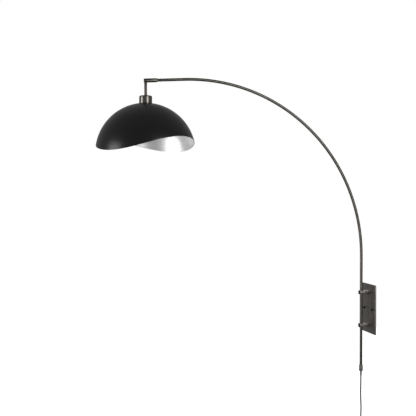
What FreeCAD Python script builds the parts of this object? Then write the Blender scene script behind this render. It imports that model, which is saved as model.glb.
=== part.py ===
import FreeCAD, Part
import math
import os

import Sketcher
from FreeCAD import Placement, Rotation, Vector

# Swing-arm wall sconce with a plug-in cord.  Millimetres, +Z up.  The wall is the
# plane Y = 0, the origin is the middle of the wall plate's back, the arm points to -Y.

SIZES = {
    # wall plate and its hidden strap
    "plate_width": 140.0, "plate_height": 222.0, "plate_thick": 6.0,
    "plate_corner": 5.0, "plate_bevel": 1.5,
    "strap_length": 110.0, "strap_height": 22.0, "strap_thick": 3.0,
    "strap_play": 0.3, "stud_spacing": 88.9, "stud_dia": 5.0, "stud_reach": 5.0,
    "wall_hole_spacing": 44.0, "wall_hole_dia": 4.8, "wall_sink_dia": 8.6,
    "nut_dia": 10.5, "nut_height": 9.5,
    # posts that carry the pole
    "post_dia": 19.0, "post_spacing": 149.0, "pole_offset": 42.0, "post_end_wall": 1.6,
    "bush_wall": 0.75, "bush_length": 11.0, "bush_slit": 1.0, "knob_height": 4.2,
    "knob_stud_dia": 5.0, "post_screw_dia": 6.0, "post_screw_depth": 14.0,
    "post_screw_head": 11.0, "run_gap": 0.05, "seat_gap": 0.1,
    # bent tube
    "tube_dia": 12.7, "tube_wall": 1.1, "pole_top": 241.0, "pole_bottom": -268.0,
    "arc_radius": 771.0, "arc_turn": 93.4, "end_run": 114.6, "plug_depth": 36.0,
    "coupler_length": 44.0, "coupler_wall": 1.2, "coupler_gap": 0.3, "grub_dia": 3.0,
    # bottom collar and strain relief
    "collar_dia": 17.6, "collar_height": 28.0, "collar_taper": 3.0, "collar_floor": 3.0,
    "collar_overlap": 14.0, "relief_flange_dia": 12.2, "relief_flange": 3.0,
    "relief_top_dia": 8.8, "relief_tip_dia": 7.5, "relief_length": 22.0,
    # elbow, stem and cup
    "sleeve_dia": 17.5, "sleeve_length": 58.0, "sleeve_cone": 5.0, "taper_lip": 1.0,
    "wire_bore": 8.0,
    "stem_dia": 12.0, "stem_setback": 7.1, "stem_length": 62.0, "stem_sink": 2.5,
    "nipple_dia": 10.0, "nipple_bore": 7.4, "nipple_length": 20.5, "cup_dia": 55.0, "cup_height": 32.5,
    "cup_wall": 1.5, "cup_round": 5.5, "jam_nut_size": 14.0, "jam_nut_thick": 3.5,
    # lampholder
    "neck_dia": 40.0, "neck_length": 42.0, "flange_dia": 49.0, "flange_thick": 3.6,
    "shoulder_height": 9.0, "boss_dia": 20.0, "boss_height": 7.0, "holder_bore": 31.0,
    "holder_roof": 3.6, "thread_floor": 1.0, "lead_hole_dia": 6.0,
    "core_wall": 1.5, "core_length": 34.0, "core_inset": 6.0,
    "shell_bore": 26.6, "shell_length": 24.0, "ring_dia": 56.0,
    "ring_thick": 4.0, "contact_dia": 9.0, "contact_height": 3.0,
    # shade
    "shade_radius": 213.0, "shade_thick": 1.5, "land_drop": 2.0, "rim_level": 36.5,
    "rim_wave": 26.7, "rim_turn": 41.2, "rim_tilt": 5.0, "wire_dia": 2.0, "wire_bend": 7.0,
    # cord, in-line switch, hank and plug
    "cord_dia": 6.5, "switch_length": 62.0, "switch_width": 28.0, "switch_depth": 19.0,
    "switch_drop": 223.0, "switch_wall": 2.5, "switch_round": 4.0, "rocker_length": 17.0,
    "rocker_depth": 4.0, "rocker_rise": 2.2, "rocker_throw": 14.0, "rocker_play": 0.8,
    "rocker_width": 11.0, "rocker_pin": 3.0, "case_screw_dia": 2.5, "case_screw_head": 4.8,
    "case_screw_rise": 1.6, "case_screw_sink": 0.4, "strip_width": 6.0, "strip_thick": 1.0,
    "cord_tuck": 8.0,
    "hank_loop": 25.0, "hank_half": 37.0, "hank_waist": 8.0, "hank_pitch": 7.5,
    "hank_turns": 5.0, "hank_drop": 85.0, "tail_length": 34.0, "tail_rise": 2.0, "tie_height": 13.0,
    "tie_thick": 1.3, "tie_gap": 0.7,
    "plug_width": 26.0, "plug_thick": 16.0, "plug_length": 34.0, "blade_spacing": 12.7,
    "blade_width": 6.35, "blade_thick": 1.5, "blade_length": 17.5,
}


class Size:
    """A number that carries the spreadsheet formula it comes from."""

    def __init__(self, text, value):
        self.text = text
        self.value = value

    def joined(self, sign, other, value, other_first=False):
        parts = [self.text, text_of(other)]
        if other_first:
            parts.reverse()
        return Size("(%s %s %s)" % (parts[0], sign, parts[1]), value)

    def __add__(self, other):
        return self.joined("+", other, self.value + num(other))

    def __radd__(self, other):
        return self.joined("+", other, num(other) + self.value, True)

    def __sub__(self, other):
        return self.joined("-", other, self.value - num(other))

    def __rsub__(self, other):
        return self.joined("-", other, num(other) - self.value, True)

    def __mul__(self, other):
        return self.joined("*", other, self.value * num(other))

    def __rmul__(self, other):
        return self.joined("*", other, num(other) * self.value, True)

    def __truediv__(self, other):
        return self.joined("/", other, self.value / num(other))

    def __neg__(self):
        return self * -1.0


def num(size):
    return float(size.value) if isinstance(size, Size) else float(size)


def text_of(size):
    return size.text if isinstance(size, Size) else "%.6f" % size


def cosine(size):
    return Size("cos(%s)" % text_of(size), math.cos(math.radians(num(size))))


def sine(size):
    return Size("sin(%s)" % text_of(size), math.sin(math.radians(num(size))))


def root(size):
    return Size("sqrt(%s)" % text_of(size), math.sqrt(num(size)))


DOC = FreeCAD.newDocument("wall_sconce")
SHEET = DOC.addObject("Spreadsheet::Sheet", "Sizes")


class Named:
    """Attribute access to the named sizes."""


V = Named()
for row, (alias, number) in enumerate(SIZES.items(), start=1):
    SHEET.set("A%d" % row, alias)
    SHEET.set("B%d" % row, str(number))
    SHEET.setAlias("B%d" % row, alias)
    setattr(V, alias, Size("Sizes." + alias, number))
DOC.recompute()

AXIS_Z = Rotation()
TO_WALL = Rotation(Vector(1, 0, 0), -90)
FROM_WALL = Rotation(Vector(1, 0, 0), 90)
ALONG_X = Rotation(Vector(0, 1, 0), 90)
UPRIGHT_ARC = Rotation(Vector(1, 1, 1), 120)


# ---------------------------------------------------------------- small helpers

def bind(feature, **values):
    """Set properties, tying each one to its spreadsheet formula."""
    for name, value in values.items():
        setattr(feature, name, num(value))
        if isinstance(value, Size):
            feature.setExpression(name, value.text)
    return feature


def place(feature, at=(0, 0, 0), turn=AXIS_Z):
    feature.Placement = Placement(Vector(*[num(c) for c in at]), turn)
    for letter, value in zip("xyz", at):
        if isinstance(value, Size):
            feature.setExpression("Placement.Base." + letter, value.text)
    return feature


def cylinder(label, diameter, height, at=(0, 0, 0), turn=AXIS_Z):
    feature = DOC.addObject("Part::Cylinder", label)
    bind(feature, Radius=diameter / 2.0, Height=height)
    return place(feature, at, turn)


def cone(label, low_dia, high_dia, height, at=(0, 0, 0), turn=AXIS_Z):
    feature = DOC.addObject("Part::Cone", label)
    bind(feature, Radius1=low_dia / 2.0, Radius2=high_dia / 2.0, Height=height)
    return place(feature, at, turn)


def sphere(label, radius, at=(0, 0, 0)):
    feature = DOC.addObject("Part::Sphere", label)
    bind(feature, Radius=radius)
    return place(feature, at)


def block(label, size, middle):
    """A box given by its three sizes and its middle point."""
    feature = DOC.addObject("Part::Box", label)
    bind(feature, Length=size[0], Width=size[1], Height=size[2])
    return place(feature, [c - s / 2.0 for c, s in zip(middle, size)])


def ring_part(label, radius, diameter, sweep, start=0.0):
    """A piece of a round bar bent on a circle in the plane X = 0."""
    feature = DOC.addObject("Part::Torus", label)
    bind(feature, Radius1=radius, Radius2=diameter / 2.0, Angle3=sweep)
    turn = UPRIGHT_ARC.multiply(Rotation(Vector(0, 0, 1), num(start)))
    return place(feature, (0, ARC_Y, V.pole_top), turn)


def fuse(label, *parts):
    feature = DOC.addObject("Part::MultiFuse", label)
    feature.Shapes = list(parts)
    return feature


def common(label, *parts):
    feature = DOC.addObject("Part::MultiCommon", label)
    feature.Shapes = list(parts)
    return feature


def cut(label, base, *tools):
    feature = DOC.addObject("Part::Cut", label)
    feature.Base = base
    feature.Tool = tools[0] if len(tools) == 1 else fuse(label + "Tools", *tools)
    return feature


def rounded(label, base, radius, wanted):
    """Fillet the edges for which wanted(edge) is true."""
    DOC.recompute()
    feature = DOC.addObject("Part::Fillet", label)
    feature.Base = base
    edges = base.Shape.Edges
    feature.Edges = [(i + 1, num(radius), num(radius)) for i, e in enumerate(edges) if wanted(e)]
    return feature


def runs_along(edge, axis):
    return len(edge.Vertexes) == 2 and abs(
        (edge.Vertexes[1].Point - edge.Vertexes[0].Point).normalize().dot(axis)) > 0.999


def outline(sketch, points):
    """Closed outline whose corners are tied to their formulas."""
    spots = [Vector(num(a), num(b), 0) for a, b in points]
    for i, spot in enumerate(spots):
        sketch.addGeometry(Part.LineSegment(spot, spots[(i + 1) % len(spots)]), False)
    for i in range(len(spots)):
        following = (i + 1) % len(spots)
        sketch.addConstraint(Sketcher.Constraint("Coincident", i, 2, following, 1))
    for i, corner in enumerate(points):
        for name, axis, value in (("DistanceX", -2, corner[0]), ("DistanceY", -1, corner[1])):
            if abs(num(value)) < 1e-9:
                sketch.addConstraint(Sketcher.Constraint("PointOnObject", i, 1, axis))
                continue
            forward = num(value) > 0
            ends = (-1, 1, i, 1) if forward else (i, 1, -1, 1)
            number = sketch.addConstraint(Sketcher.Constraint(name, *ends, abs(num(value))))
            if isinstance(value, Size):
                tied = value if forward else -value
                sketch.setExpression("Constraints[%d]" % number, tied.text)


def sketch_on(body, label, role):
    sketch = body.newObject("Sketcher::SketchObject", label)
    plane = [f for f in body.Origin.OriginFeatures if f.Role == role][0]
    sketch.AttachmentSupport = [(plane, "")]
    sketch.MapMode = "FlatFace"
    return sketch


def turned(label, points, at=(0, 0, 0), turn=AXIS_Z):
    """A turned piece: points are (radius, height) corners of its half section."""
    body = DOC.addObject("PartDesign::Body", label)
    sketch = sketch_on(body, label + "Section", "XZ_Plane")
    outline(sketch, points)
    solid = body.newObject("PartDesign::Revolution", label + "Turned")
    solid.Profile = sketch
    solid.ReferenceAxis = (sketch, ["V_Axis"])
    solid.Angle = 360.0
    body.Tip = solid
    return place(body, at, turn)


def domed(label, diameter, height, straight, at, turn):
    """A round button with straight sides and a spherical end."""
    rise = height - straight
    ball = (diameter * diameter / 4.0 + rise * rise) / (rise * 2.0)
    side = cylinder(label + "Side", diameter, height, at, turn)
    away = turn.multVec(Vector(0, 0, 1))
    middle = [c + (height - ball) * float(round(d)) for c, d in zip(at, away)]
    return common(label + "Dome", side, sphere(label + "Ball", ball, middle))


def bolt(label, head_dia, head_height, shank_dia, shank_length, at, turn, sunk=False):
    """A screw whose head starts at the given point; the shank follows the turn."""
    head = (cone(label + "Head", head_dia, shank_dia, head_height, at, turn) if sunk
            else cylinder(label + "Head", head_dia, head_height, at, turn))
    away = turn.multVec(Vector(0, 0, 1))
    start = [c + head_height * float(round(d)) for c, d in zip(at, away)]
    shank = cylinder(label + "Shank", shank_dia, shank_length, start, turn)
    return fuse(label + "Bolt", head, shank)


def group(label, *parts):
    """Identical loose pieces kept as separate solids in one node."""
    feature = DOC.addObject("Part::Compound", label)
    feature.Links = list(parts)
    return feature


def shape_feature(label, shape):
    feature = DOC.addObject("Part::Feature", label)
    feature.Shape = shape
    return feature


# ---------------------------------------------------------------- shared positions

ARC_Y = -V.pole_offset - V.arc_radius
POLE_Y = -V.pole_offset
BEND_END_Y = ARC_Y + V.arc_radius * cosine(V.arc_turn)
BEND_END_Z = V.pole_top + V.arc_radius * sine(V.arc_turn)
ARM_END_TURN = Rotation(Vector(1, 0, 0), num(V.arc_turn))


def on_arm_end(distance):
    """A point on the straight end of the arm, measured from the end of the bend."""
    return (0, BEND_END_Y - distance * sine(V.arc_turn),
            BEND_END_Z + distance * cosine(V.arc_turn))


STEM_RUN = V.end_run + V.sleeve_length - V.stem_setback
STEM_Y = on_arm_end(STEM_RUN)[1]
STEM_TOP = on_arm_end(STEM_RUN)[2] - V.stem_sink
CUP_TOP = STEM_TOP - V.stem_length
CUP_BOTTOM = CUP_TOP - V.cup_height
LAND_Z = CUP_BOTTOM - V.seat_gap
SHADE_Z = LAND_Z + V.land_drop - V.shade_radius
NECK_TOP = LAND_Z + V.run_gap
NECK_BOTTOM = NECK_TOP - V.neck_length
COLLAR_TOP = V.pole_bottom + V.collar_overlap
COLLAR_BOTTOM = COLLAR_TOP - V.collar_height
SWITCH_TOP = COLLAR_BOTTOM - V.switch_drop
SWITCH_Z = SWITCH_TOP - V.switch_length / 2.0
SWITCH_BOTTOM = SWITCH_TOP - V.switch_length
HANK_TOP = SWITCH_BOTTOM - V.hank_drop
HANK_MIDDLE = HANK_TOP - V.hank_half
HANK_BOTTOM = HANK_MIDDLE - V.hank_half
PLUG_TOP = HANK_BOTTOM - V.tail_length
PLATE_FACE = -V.plate_thick
CORD_BORE = V.cord_dia + V.run_gap * 2.0
POST_SIDES = {"upper": 0.5, "lower": -0.5}


# ---------------------------------------------------------------- wall side

def wall_plate():
    """Flat steel plate with a bevelled face, a pocket for the strap behind it."""
    body = DOC.addObject("PartDesign::Body", "PlateBody")
    sketch = sketch_on(body, "PlateOutline", "XZ_Plane")
    half_w, half_h = V.plate_width / 2.0, V.plate_height / 2.0
    outline(sketch, [(-half_w, -half_h), (half_w, -half_h), (half_w, half_h), (-half_w, half_h)])
    pad = body.newObject("PartDesign::Pad", "PlatePad")
    pad.Profile = sketch
    bind(pad, Length=V.plate_thick)
    DOC.recompute()
    corners = ["Edge%d" % (i + 1) for i, e in enumerate(pad.Shape.Edges)
               if runs_along(e, Vector(0, 1, 0)) or runs_along(e, Vector(0, -1, 0))]
    fillet = body.newObject("PartDesign::Fillet", "PlateCorners")
    fillet.Base = (pad, corners)
    bind(fillet, Radius=V.plate_corner)
    DOC.recompute()
    front = ["Edge%d" % (i + 1) for i, e in enumerate(fillet.Shape.Edges)
             if e.BoundBox.YMax < -num(V.plate_thick) + 0.01]
    bevel = body.newObject("PartDesign::Chamfer", "PlateBevel")
    bevel.Base = (fillet, front)
    bind(bevel, Size=V.plate_bevel)
    body.Tip = bevel
    play = V.strap_play * 2.0
    depth = V.strap_thick + V.strap_play
    tools = [block("StrapPocket", (V.strap_length + play, depth, V.strap_height + play),
                   (0, -depth / 2.0, 0))]
    for side in (-0.5, 0.5):
        tools.append(cylinder("StudHole", V.stud_dia + play, V.plate_thick,
                              (V.stud_spacing * side, 0, 0), FROM_WALL))
        height = V.post_spacing * side
        tools.append(cylinder("PostScrewHole", V.post_screw_dia + play, V.plate_thick,
                              (0, 0, height), FROM_WALL))
        tools.append(cone("PostScrewSink", V.post_screw_head + play, V.post_screw_dia + play,
                          V.plate_thick / 2.0, (0, 0, height), FROM_WALL))
    return cut("WallPlate", body, *tools)


def mounting_strap():
    """Bar that is screwed to the wall first and hidden in the plate's pocket."""
    bar = block("StrapBar", (V.strap_length, V.strap_thick, V.strap_height),
                (0, -V.strap_thick / 2.0, 0))
    tools = []
    for side in (-0.5, 0.5):
        at = (V.wall_hole_spacing * side, 0, 0)
        tools.append(cylinder("WallHole", V.wall_hole_dia, V.strap_thick, at, FROM_WALL))
        tools.append(cone("WallSink", V.wall_hole_dia, V.wall_sink_dia, V.strap_thick / 2.0,
                          (at[0], -V.strap_thick / 2.0, 0), FROM_WALL))
        tools.append(cylinder("StrapStudHole", V.stud_dia + V.run_gap * 2.0, V.strap_thick,
                              (V.stud_spacing * side, 0, 0), FROM_WALL))
    return cut("MountingStrap", bar, *tools)


def strap_studs():
    studs = [cylinder("StrapStud", V.stud_dia, V.plate_thick + V.stud_reach,
                      (V.stud_spacing * side, 0, 0), FROM_WALL) for side in (-0.5, 0.5)]
    return group("StrapStuds", *studs)


def cap_nuts():
    nuts = []
    for side in (-0.5, 0.5):
        at = (V.stud_spacing * side, PLATE_FACE, 0)
        nut = domed("CapNut", V.nut_dia, V.nut_height, V.nut_height / 2.5, at, FROM_WALL)
        bore = cylinder("CapNutBore", V.stud_dia, V.stud_reach + V.seat_gap, at, FROM_WALL)
        nuts.append(cut("CapNutHollow", nut, bore))
    return group("CapNuts", *nuts)


BUSH_OUTER = V.tube_dia + V.run_gap * 2.0 + V.bush_wall * 2.0
POST_BORE = BUSH_OUTER + V.run_gap * 2.0
POST_LENGTH = V.pole_offset - V.plate_thick + POST_BORE / 2.0 + V.post_end_wall


def post(name):
    """Turned bar from the plate; the pole's bush sits in its cross hole."""
    height = V.post_spacing * POST_SIDES[name]
    bar = cylinder(name + "PostBar", V.post_dia, POST_LENGTH, (0, PLATE_FACE, height), FROM_WALL)
    cross = cylinder(name + "PostCross", POST_BORE, V.post_dia * 1.2,
                     (0, POLE_Y, height - V.post_dia * 0.6))
    screw = cylinder(name + "PostTap", V.post_screw_dia + V.run_gap * 2.0, V.post_screw_depth,
                     (0, PLATE_FACE, height), FROM_WALL)
    stud = cylinder(name + "KnobTap", V.knob_stud_dia + V.run_gap * 2.0, V.post_dia,
                    (0, POLE_Y, height), FROM_WALL)
    return cut(name + "Post", bar, cross, screw, stud)


def post_screws():
    sink = V.plate_thick / 2.0
    length = V.plate_thick - sink + V.post_screw_depth - V.seat_gap * 10.0
    screws = [bolt("PostScrew", V.post_screw_head, sink, V.post_screw_dia, length,
                   (0, 0, V.post_spacing * side), FROM_WALL, True) for side in (-0.5, 0.5)]
    return group("PostScrews", *screws)


def bush(name):
    """Slit nylon liner between the post and the pole."""
    height = V.post_spacing * POST_SIDES[name]
    bottom = height - V.bush_length / 2.0
    tube = cylinder(name + "BushTube", BUSH_OUTER, V.bush_length, (0, POLE_Y, bottom))
    bore = cylinder(name + "BushBore", V.tube_dia + V.run_gap * 2.0, V.bush_length,
                    (0, POLE_Y, bottom))
    slit = block(name + "BushSlit", (V.bush_slit, BUSH_OUTER, V.bush_length),
                 (0, POLE_Y + BUSH_OUTER / 2.0, height))
    return cut(name + "Bush", tube, bore, slit)


def clamp_knob(name):
    """Black domed knob; its stud presses the bush onto the pole."""
    height = V.post_spacing * POST_SIDES[name]
    end = PLATE_FACE - POST_LENGTH - V.run_gap
    head = domed(name + "Knob", V.post_dia, V.knob_height, V.knob_height / 5.0,
                 (0, end, height), FROM_WALL)
    tip = POLE_Y - BUSH_OUTER / 2.0 - V.seat_gap
    stud = cylinder(name + "KnobStud", V.knob_stud_dia, tip - end + V.knob_height / 2.0,
                    (0, tip, height), FROM_WALL)
    return fuse(name + "ClampKnob", head, stud)


# ---------------------------------------------------------------- bent arm

TUBE_BORE = V.tube_dia - V.tube_wall * 2.0
HALF_SWEEP = V.arc_turn / 2.0


def straight_pole(label, diameter, bottom):
    return cylinder(label, diameter, V.pole_top - bottom, (0, POLE_Y, bottom))


def arm_end_bar(label, diameter, start, length):
    return cylinder(label, diameter, length, on_arm_end(start), ARM_END_TURN)


def pole_tube():
    outer = straight_pole("PoleOuter", V.tube_dia, V.pole_bottom)
    inner = straight_pole("PoleInner", TUBE_BORE, V.pole_bottom)
    grub = grub_hole("PoleGrubHole", pole_grub_spot())
    return cut("PoleTube", outer, inner, grub)


def arc_lower():
    outer = ring_part("ArcLowerOuter", V.arc_radius, V.tube_dia, HALF_SWEEP)
    inner = ring_part("ArcLowerInner", V.arc_radius, TUBE_BORE, HALF_SWEEP)
    return cut("ArcLower", outer, inner, grub_hole("ArcGrubHole", arc_grub_spot()))


def arc_upper():
    length = V.end_run + V.plug_depth
    pieces = []
    for label, diameter in (("Outer", V.tube_dia), ("Inner", TUBE_BORE)):
        bend = ring_part("ArcUpper" + label, V.arc_radius, diameter, HALF_SWEEP, HALF_SWEEP)
        pieces.append(fuse("ArmEnd" + label, bend,
                           arm_end_bar("ArmEndBar" + label, diameter, 0, length)))
    return cut("ArcUpper", *pieces)


COUPLER_DIA = TUBE_BORE - V.coupler_gap * 2.0
COUPLER_BORE = COUPLER_DIA - V.coupler_wall * 2.0


def pole_coupler():
    bottom = V.pole_top - V.coupler_length / 2.0
    outer = cylinder("PoleCouplerBar", COUPLER_DIA, V.coupler_length / 2.0, (0, POLE_Y, bottom))
    inner = cylinder("PoleCouplerBore", COUPLER_BORE, V.coupler_length / 2.0,
                     (0, POLE_Y, bottom))
    sweep = V.coupler_length / V.arc_radius * 28.6479
    bent = ring_part("PoleCouplerBent", V.arc_radius, COUPLER_DIA, sweep)
    bent_bore = ring_part("PoleCouplerBentBore", V.arc_radius, COUPLER_BORE, sweep)
    return cut("PoleCoupler", fuse("PoleCouplerAll", outer, bent), inner, bent_bore)


def arc_coupler():
    sweep = V.coupler_length / V.arc_radius * 57.2958
    start = HALF_SWEEP - sweep / 2.0
    outer = ring_part("ArcCouplerBar", V.arc_radius, COUPLER_DIA, sweep, start)
    inner = ring_part("ArcCouplerBore", V.arc_radius, COUPLER_BORE, sweep, start)
    return cut("ArcCoupler", outer, inner)


def pole_grub_spot():
    """Middle of a grub screw on the wall side of the pole, under the first joint."""
    return (0, POLE_Y, V.pole_top - V.coupler_length / 4.0), TO_WALL


def arc_grub_spot():
    angle = HALF_SWEEP - V.coupler_length / V.arc_radius * 14.3239
    at = (0, ARC_Y + V.arc_radius * cosine(angle), V.pole_top + V.arc_radius * sine(angle))
    return at, Rotation(Vector(1, 0, 0), num(angle) - 90.0)


def grub_hole(label, spot):
    at, turn = spot
    return cylinder(label, V.grub_dia, V.tube_dia, at, turn)


def grub_screw(label, spot):
    """Screw flush with the tube, resting on the coupler."""
    at, turn = spot
    whole = cylinder(label + "Bar", V.grub_dia, V.tube_dia / 2.0, at, turn)
    core = cylinder(label + "Core", COUPLER_DIA + V.seat_gap, V.coupler_length,
                    shifted(at, turn, 0, -V.coupler_length / 2.0), turn.multiply(FROM_WALL))
    return cut(label, whole, core)


def shifted(at, turn, radial, along):
    """Point moved along the tube and outwards from its axis."""
    step = turn.multVec(Vector(0, -num(along), num(radial)))
    return [num(a) + b for a, b in zip(at, step)]


def coupler_screws():
    return group("CouplerScrews", grub_screw("PoleGrub", pole_grub_spot()),
                 grub_screw("ArcGrub", arc_grub_spot()))


# ---------------------------------------------------------------- elbow, stem and cup

def elbow_sleeve():
    """Closed sleeve over the arm's end, with a short cone and the stem's seat."""
    shell = fuse("SleeveBar",
                 cone("SleeveCone", V.tube_dia + V.taper_lip, V.sleeve_dia, V.sleeve_cone,
                      on_arm_end(V.end_run), ARM_END_TURN),
                 arm_end_bar("SleeveBody", V.sleeve_dia, V.end_run + V.sleeve_cone,
                             V.sleeve_length - V.sleeve_cone))
    bore = arm_end_bar("SleeveBore", V.tube_dia + V.run_gap * 2.0, V.end_run, V.plug_depth)
    wires = arm_end_bar("SleeveWireBore", V.wire_bore, V.end_run,
                        V.sleeve_length - V.stem_setback + V.wire_bore / 4.0)
    seat = cylinder("StemSeat", V.stem_dia + V.run_gap * 2.0, V.sleeve_dia,
                    (0, STEM_Y, STEM_TOP - V.sleeve_dia))
    at = on_arm_end(V.end_run + V.plug_depth / 2.0)
    screw = cylinder("SleeveScrewHole", V.grub_dia, V.sleeve_dia, at, SIDEWAYS)
    return cut("ElbowSleeve", shell, bore, wires, seat, screw)


SIDEWAYS = Rotation(Vector(0, 1, 0), -90)


def sleeve_screw():
    """Grub screw on the arm's far side, from the tube out to the sleeve's skin."""
    x, y, z = on_arm_end(V.end_run + V.plug_depth / 2.0)
    inner = V.tube_dia / 2.0 + V.run_gap
    return cylinder("SleeveScrew", V.grub_dia, V.sleeve_dia / 2.0 - inner - V.seat_gap,
                    (-inner, y, z), SIDEWAYS)


def stem():
    """Hanging tube with the thread that carries the cup and lampholder."""
    upper = cylinder("StemTube", V.stem_dia, V.stem_length, (0, STEM_Y, CUP_TOP))
    nipple = cylinder("StemNipple", V.nipple_dia, V.nipple_length,
                      (0, STEM_Y, CUP_TOP - V.nipple_length))
    bore = cylinder("StemBore", V.nipple_bore, V.stem_length + V.nipple_length,
                    (0, STEM_Y, CUP_TOP - V.nipple_length))
    return cut("Stem", fuse("StemBar", upper, nipple), bore)


def hex_nut(label, size, thick, hole, at):
    prism = DOC.addObject("Part::Prism", label + "Prism")
    prism.Polygon = 6
    bind(prism, Circumradius=size / 1.7320508, Height=thick)
    place(prism, at)
    return cut(label, prism, cylinder(label + "Hole", hole, thick, at))


def jam_nut():
    """Nut inside the cup that holds it against the stem's shoulder."""
    bottom = CUP_TOP - V.cup_wall - V.seat_gap - V.jam_nut_thick
    return hex_nut("JamNut", V.jam_nut_size, V.jam_nut_thick,
                   V.nipple_dia + V.run_gap * 2.0, (0, STEM_Y, bottom))


def cup():
    """Turned cup over the lampholder, open below."""
    hole = V.nipple_dia / 2.0 + V.run_gap
    outer, inner = V.cup_dia / 2.0, V.cup_dia / 2.0 - V.cup_wall
    roof = V.cup_height - V.cup_wall
    body = turned("CupTurned", [(inner, 0), (outer, 0), (outer, V.cup_height),
                                (hole, V.cup_height), (hole, roof), (inner, roof)],
                  (0, STEM_Y, CUP_BOTTOM))
    outside = rounded("CupShoulder", body, V.cup_round, lambda e: is_circle(
        e, num(outer), num(CUP_TOP)))
    return rounded("Cup", outside, V.cup_round - V.cup_wall, lambda e: is_circle(
        e, num(inner), num(CUP_BOTTOM + roof)))


def is_circle(edge, radius, height):
    box = edge.BoundBox
    return (abs(box.ZMax - height) < 0.01 and abs(box.ZMin - height) < 0.01
            and abs(box.XMax - radius) < 0.01)


# ---------------------------------------------------------------- lampholder

def lampholder_body():
    """Moulded holder: neck for the ring, flange on the shade, boss for the thread."""
    neck, flange, boss = V.neck_dia / 2.0, V.flange_dia / 2.0, V.boss_dia / 2.0
    cavity, thread = V.holder_bore / 2.0, V.nipple_dia / 2.0 + V.run_gap
    lead = V.lead_hole_dia / 2.0
    flange_top = V.neck_length + V.flange_thick
    shoulder = flange_top + V.shoulder_height
    top = shoulder + V.boss_height
    floor = shoulder - V.thread_floor
    roof = floor - V.holder_roof
    return turned("LampholderBody", [
        (cavity, 0), (neck, 0), (neck, V.neck_length), (flange, V.neck_length),
        (flange, flange_top), (neck, flange_top), (neck, shoulder), (boss, shoulder),
        (boss, top), (thread, top), (thread, floor), (lead, floor), (lead, roof),
        (cavity, roof)], (0, STEM_Y, NECK_BOTTOM))


def holder_core():
    """Inner insulator that carries the threaded shell and the contact."""
    outer = V.holder_bore / 2.0 - V.run_gap
    inner = outer - V.core_wall
    top = V.core_inset + V.core_length
    return turned("HolderCore", [
        (inner, V.core_inset), (outer, V.core_inset), (outer, top), (V.wire_dia, top),
        (V.wire_dia, top - V.holder_roof), (inner, top - V.holder_roof)],
        (0, STEM_Y, NECK_BOTTOM))


def screw_shell():
    """Brass shell that takes the bulb's cap."""
    inner = V.shell_bore / 2.0
    outer = V.holder_bore / 2.0 - V.run_gap - V.core_wall - V.run_gap
    low = V.core_inset + 2.0
    return turned("ScrewShell", [(inner, low), (outer, low), (outer, low + V.shell_length),
                                 (inner, low + V.shell_length)], (0, STEM_Y, NECK_BOTTOM))


def centre_contact():
    height = V.core_inset + V.core_length - V.holder_roof - V.contact_height
    plate = cylinder("ContactPlate", V.contact_dia, V.contact_height / 2.0,
                     (0, STEM_Y, NECK_BOTTOM + height + V.contact_height / 2.0))
    tip = cone("ContactTip", V.contact_dia / 3.0, V.contact_dia, V.contact_height / 2.0,
               (0, STEM_Y, NECK_BOTTOM + height))
    return fuse("CentreContact", plate, tip)


def shade_ring():
    """Ring on the neck that clamps the shade against the flange."""
    bottom = LAND_Z - V.shade_thick - V.run_gap - V.ring_thick
    outer = cylinder("RingOuter", V.ring_dia, V.ring_thick, (0, STEM_Y, bottom))
    inner = cylinder("RingInner", V.neck_dia + V.run_gap * 2.0, V.ring_thick,
                     (0, STEM_Y, bottom))
    return cut("ShadeRing", outer, inner)


# ---------------------------------------------------------------- shade

def saddle_tool():
    """Everything under a hyperbolic paraboloid: two skew lines, ruled and extruded."""
    reach = V.shade_radius * 1.5
    rim_radius = root(V.shade_radius * V.shade_radius - V.rim_level * V.rim_level)
    swing = V.rim_wave * (reach * reach) / (rim_radius * rim_radius)
    lean = V.rim_tilt * reach / rim_radius

    def corner(quarter, side):
        angle = V.rim_turn + 90.0 * quarter
        return (reach * cosine(angle), STEM_Y + reach * sine(angle),
                SHADE_Z + V.rim_level + swing * side + lean * sine(angle))

    lines = []
    for first, second in ((corner(0, 1.0), corner(1, -1.0)), (corner(3, -1.0), corner(2, 1.0))):
        line = DOC.addObject("Part::Line", "RimLine")
        bind(line, X1=first[0], Y1=first[1], Z1=first[2],
             X2=second[0], Y2=second[1], Z2=second[2])
        lines.append(line)
    saddle = DOC.addObject("Part::RuledSurface", "RimSaddle")
    saddle.Curve1 = (lines[0], ["Edge1"])
    saddle.Curve2 = (lines[1], ["Edge1"])
    below = DOC.addObject("Part::Extrusion", "BelowRim")
    below.Base = saddle
    below.DirMode = "Custom"
    below.Dir = Vector(0, 0, -1)
    below.Solid = True
    bind(below, LengthFwd=V.shade_radius * 1.2)
    return below


def shade():
    """Spun dome with a flat land on top and a wavy, saddle-cut rim."""
    middle = (0, STEM_Y, SHADE_Z)
    depth = V.shade_radius - V.land_drop
    outside = common("DomeOutside", sphere("DomeOuterBall", V.shade_radius, middle),
                     cylinder("DomeOuterSpan", V.shade_radius * 2.4, depth, middle))
    inner_depth = depth - V.shade_thick
    inside = common("DomeInside",
                    sphere("DomeInnerBall", V.shade_radius - V.shade_thick, middle),
                    cylinder("DomeInnerSpan", V.shade_radius * 2.2, inner_depth, middle))
    hole = cylinder("DomeHole", V.neck_dia + V.run_gap * 2.0, V.shade_radius, middle)
    return cut("Shade", cut("DomeShell", outside, inside), hole, saddle_tool())


# ---------------------------------------------------------------- pole bottom

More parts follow.
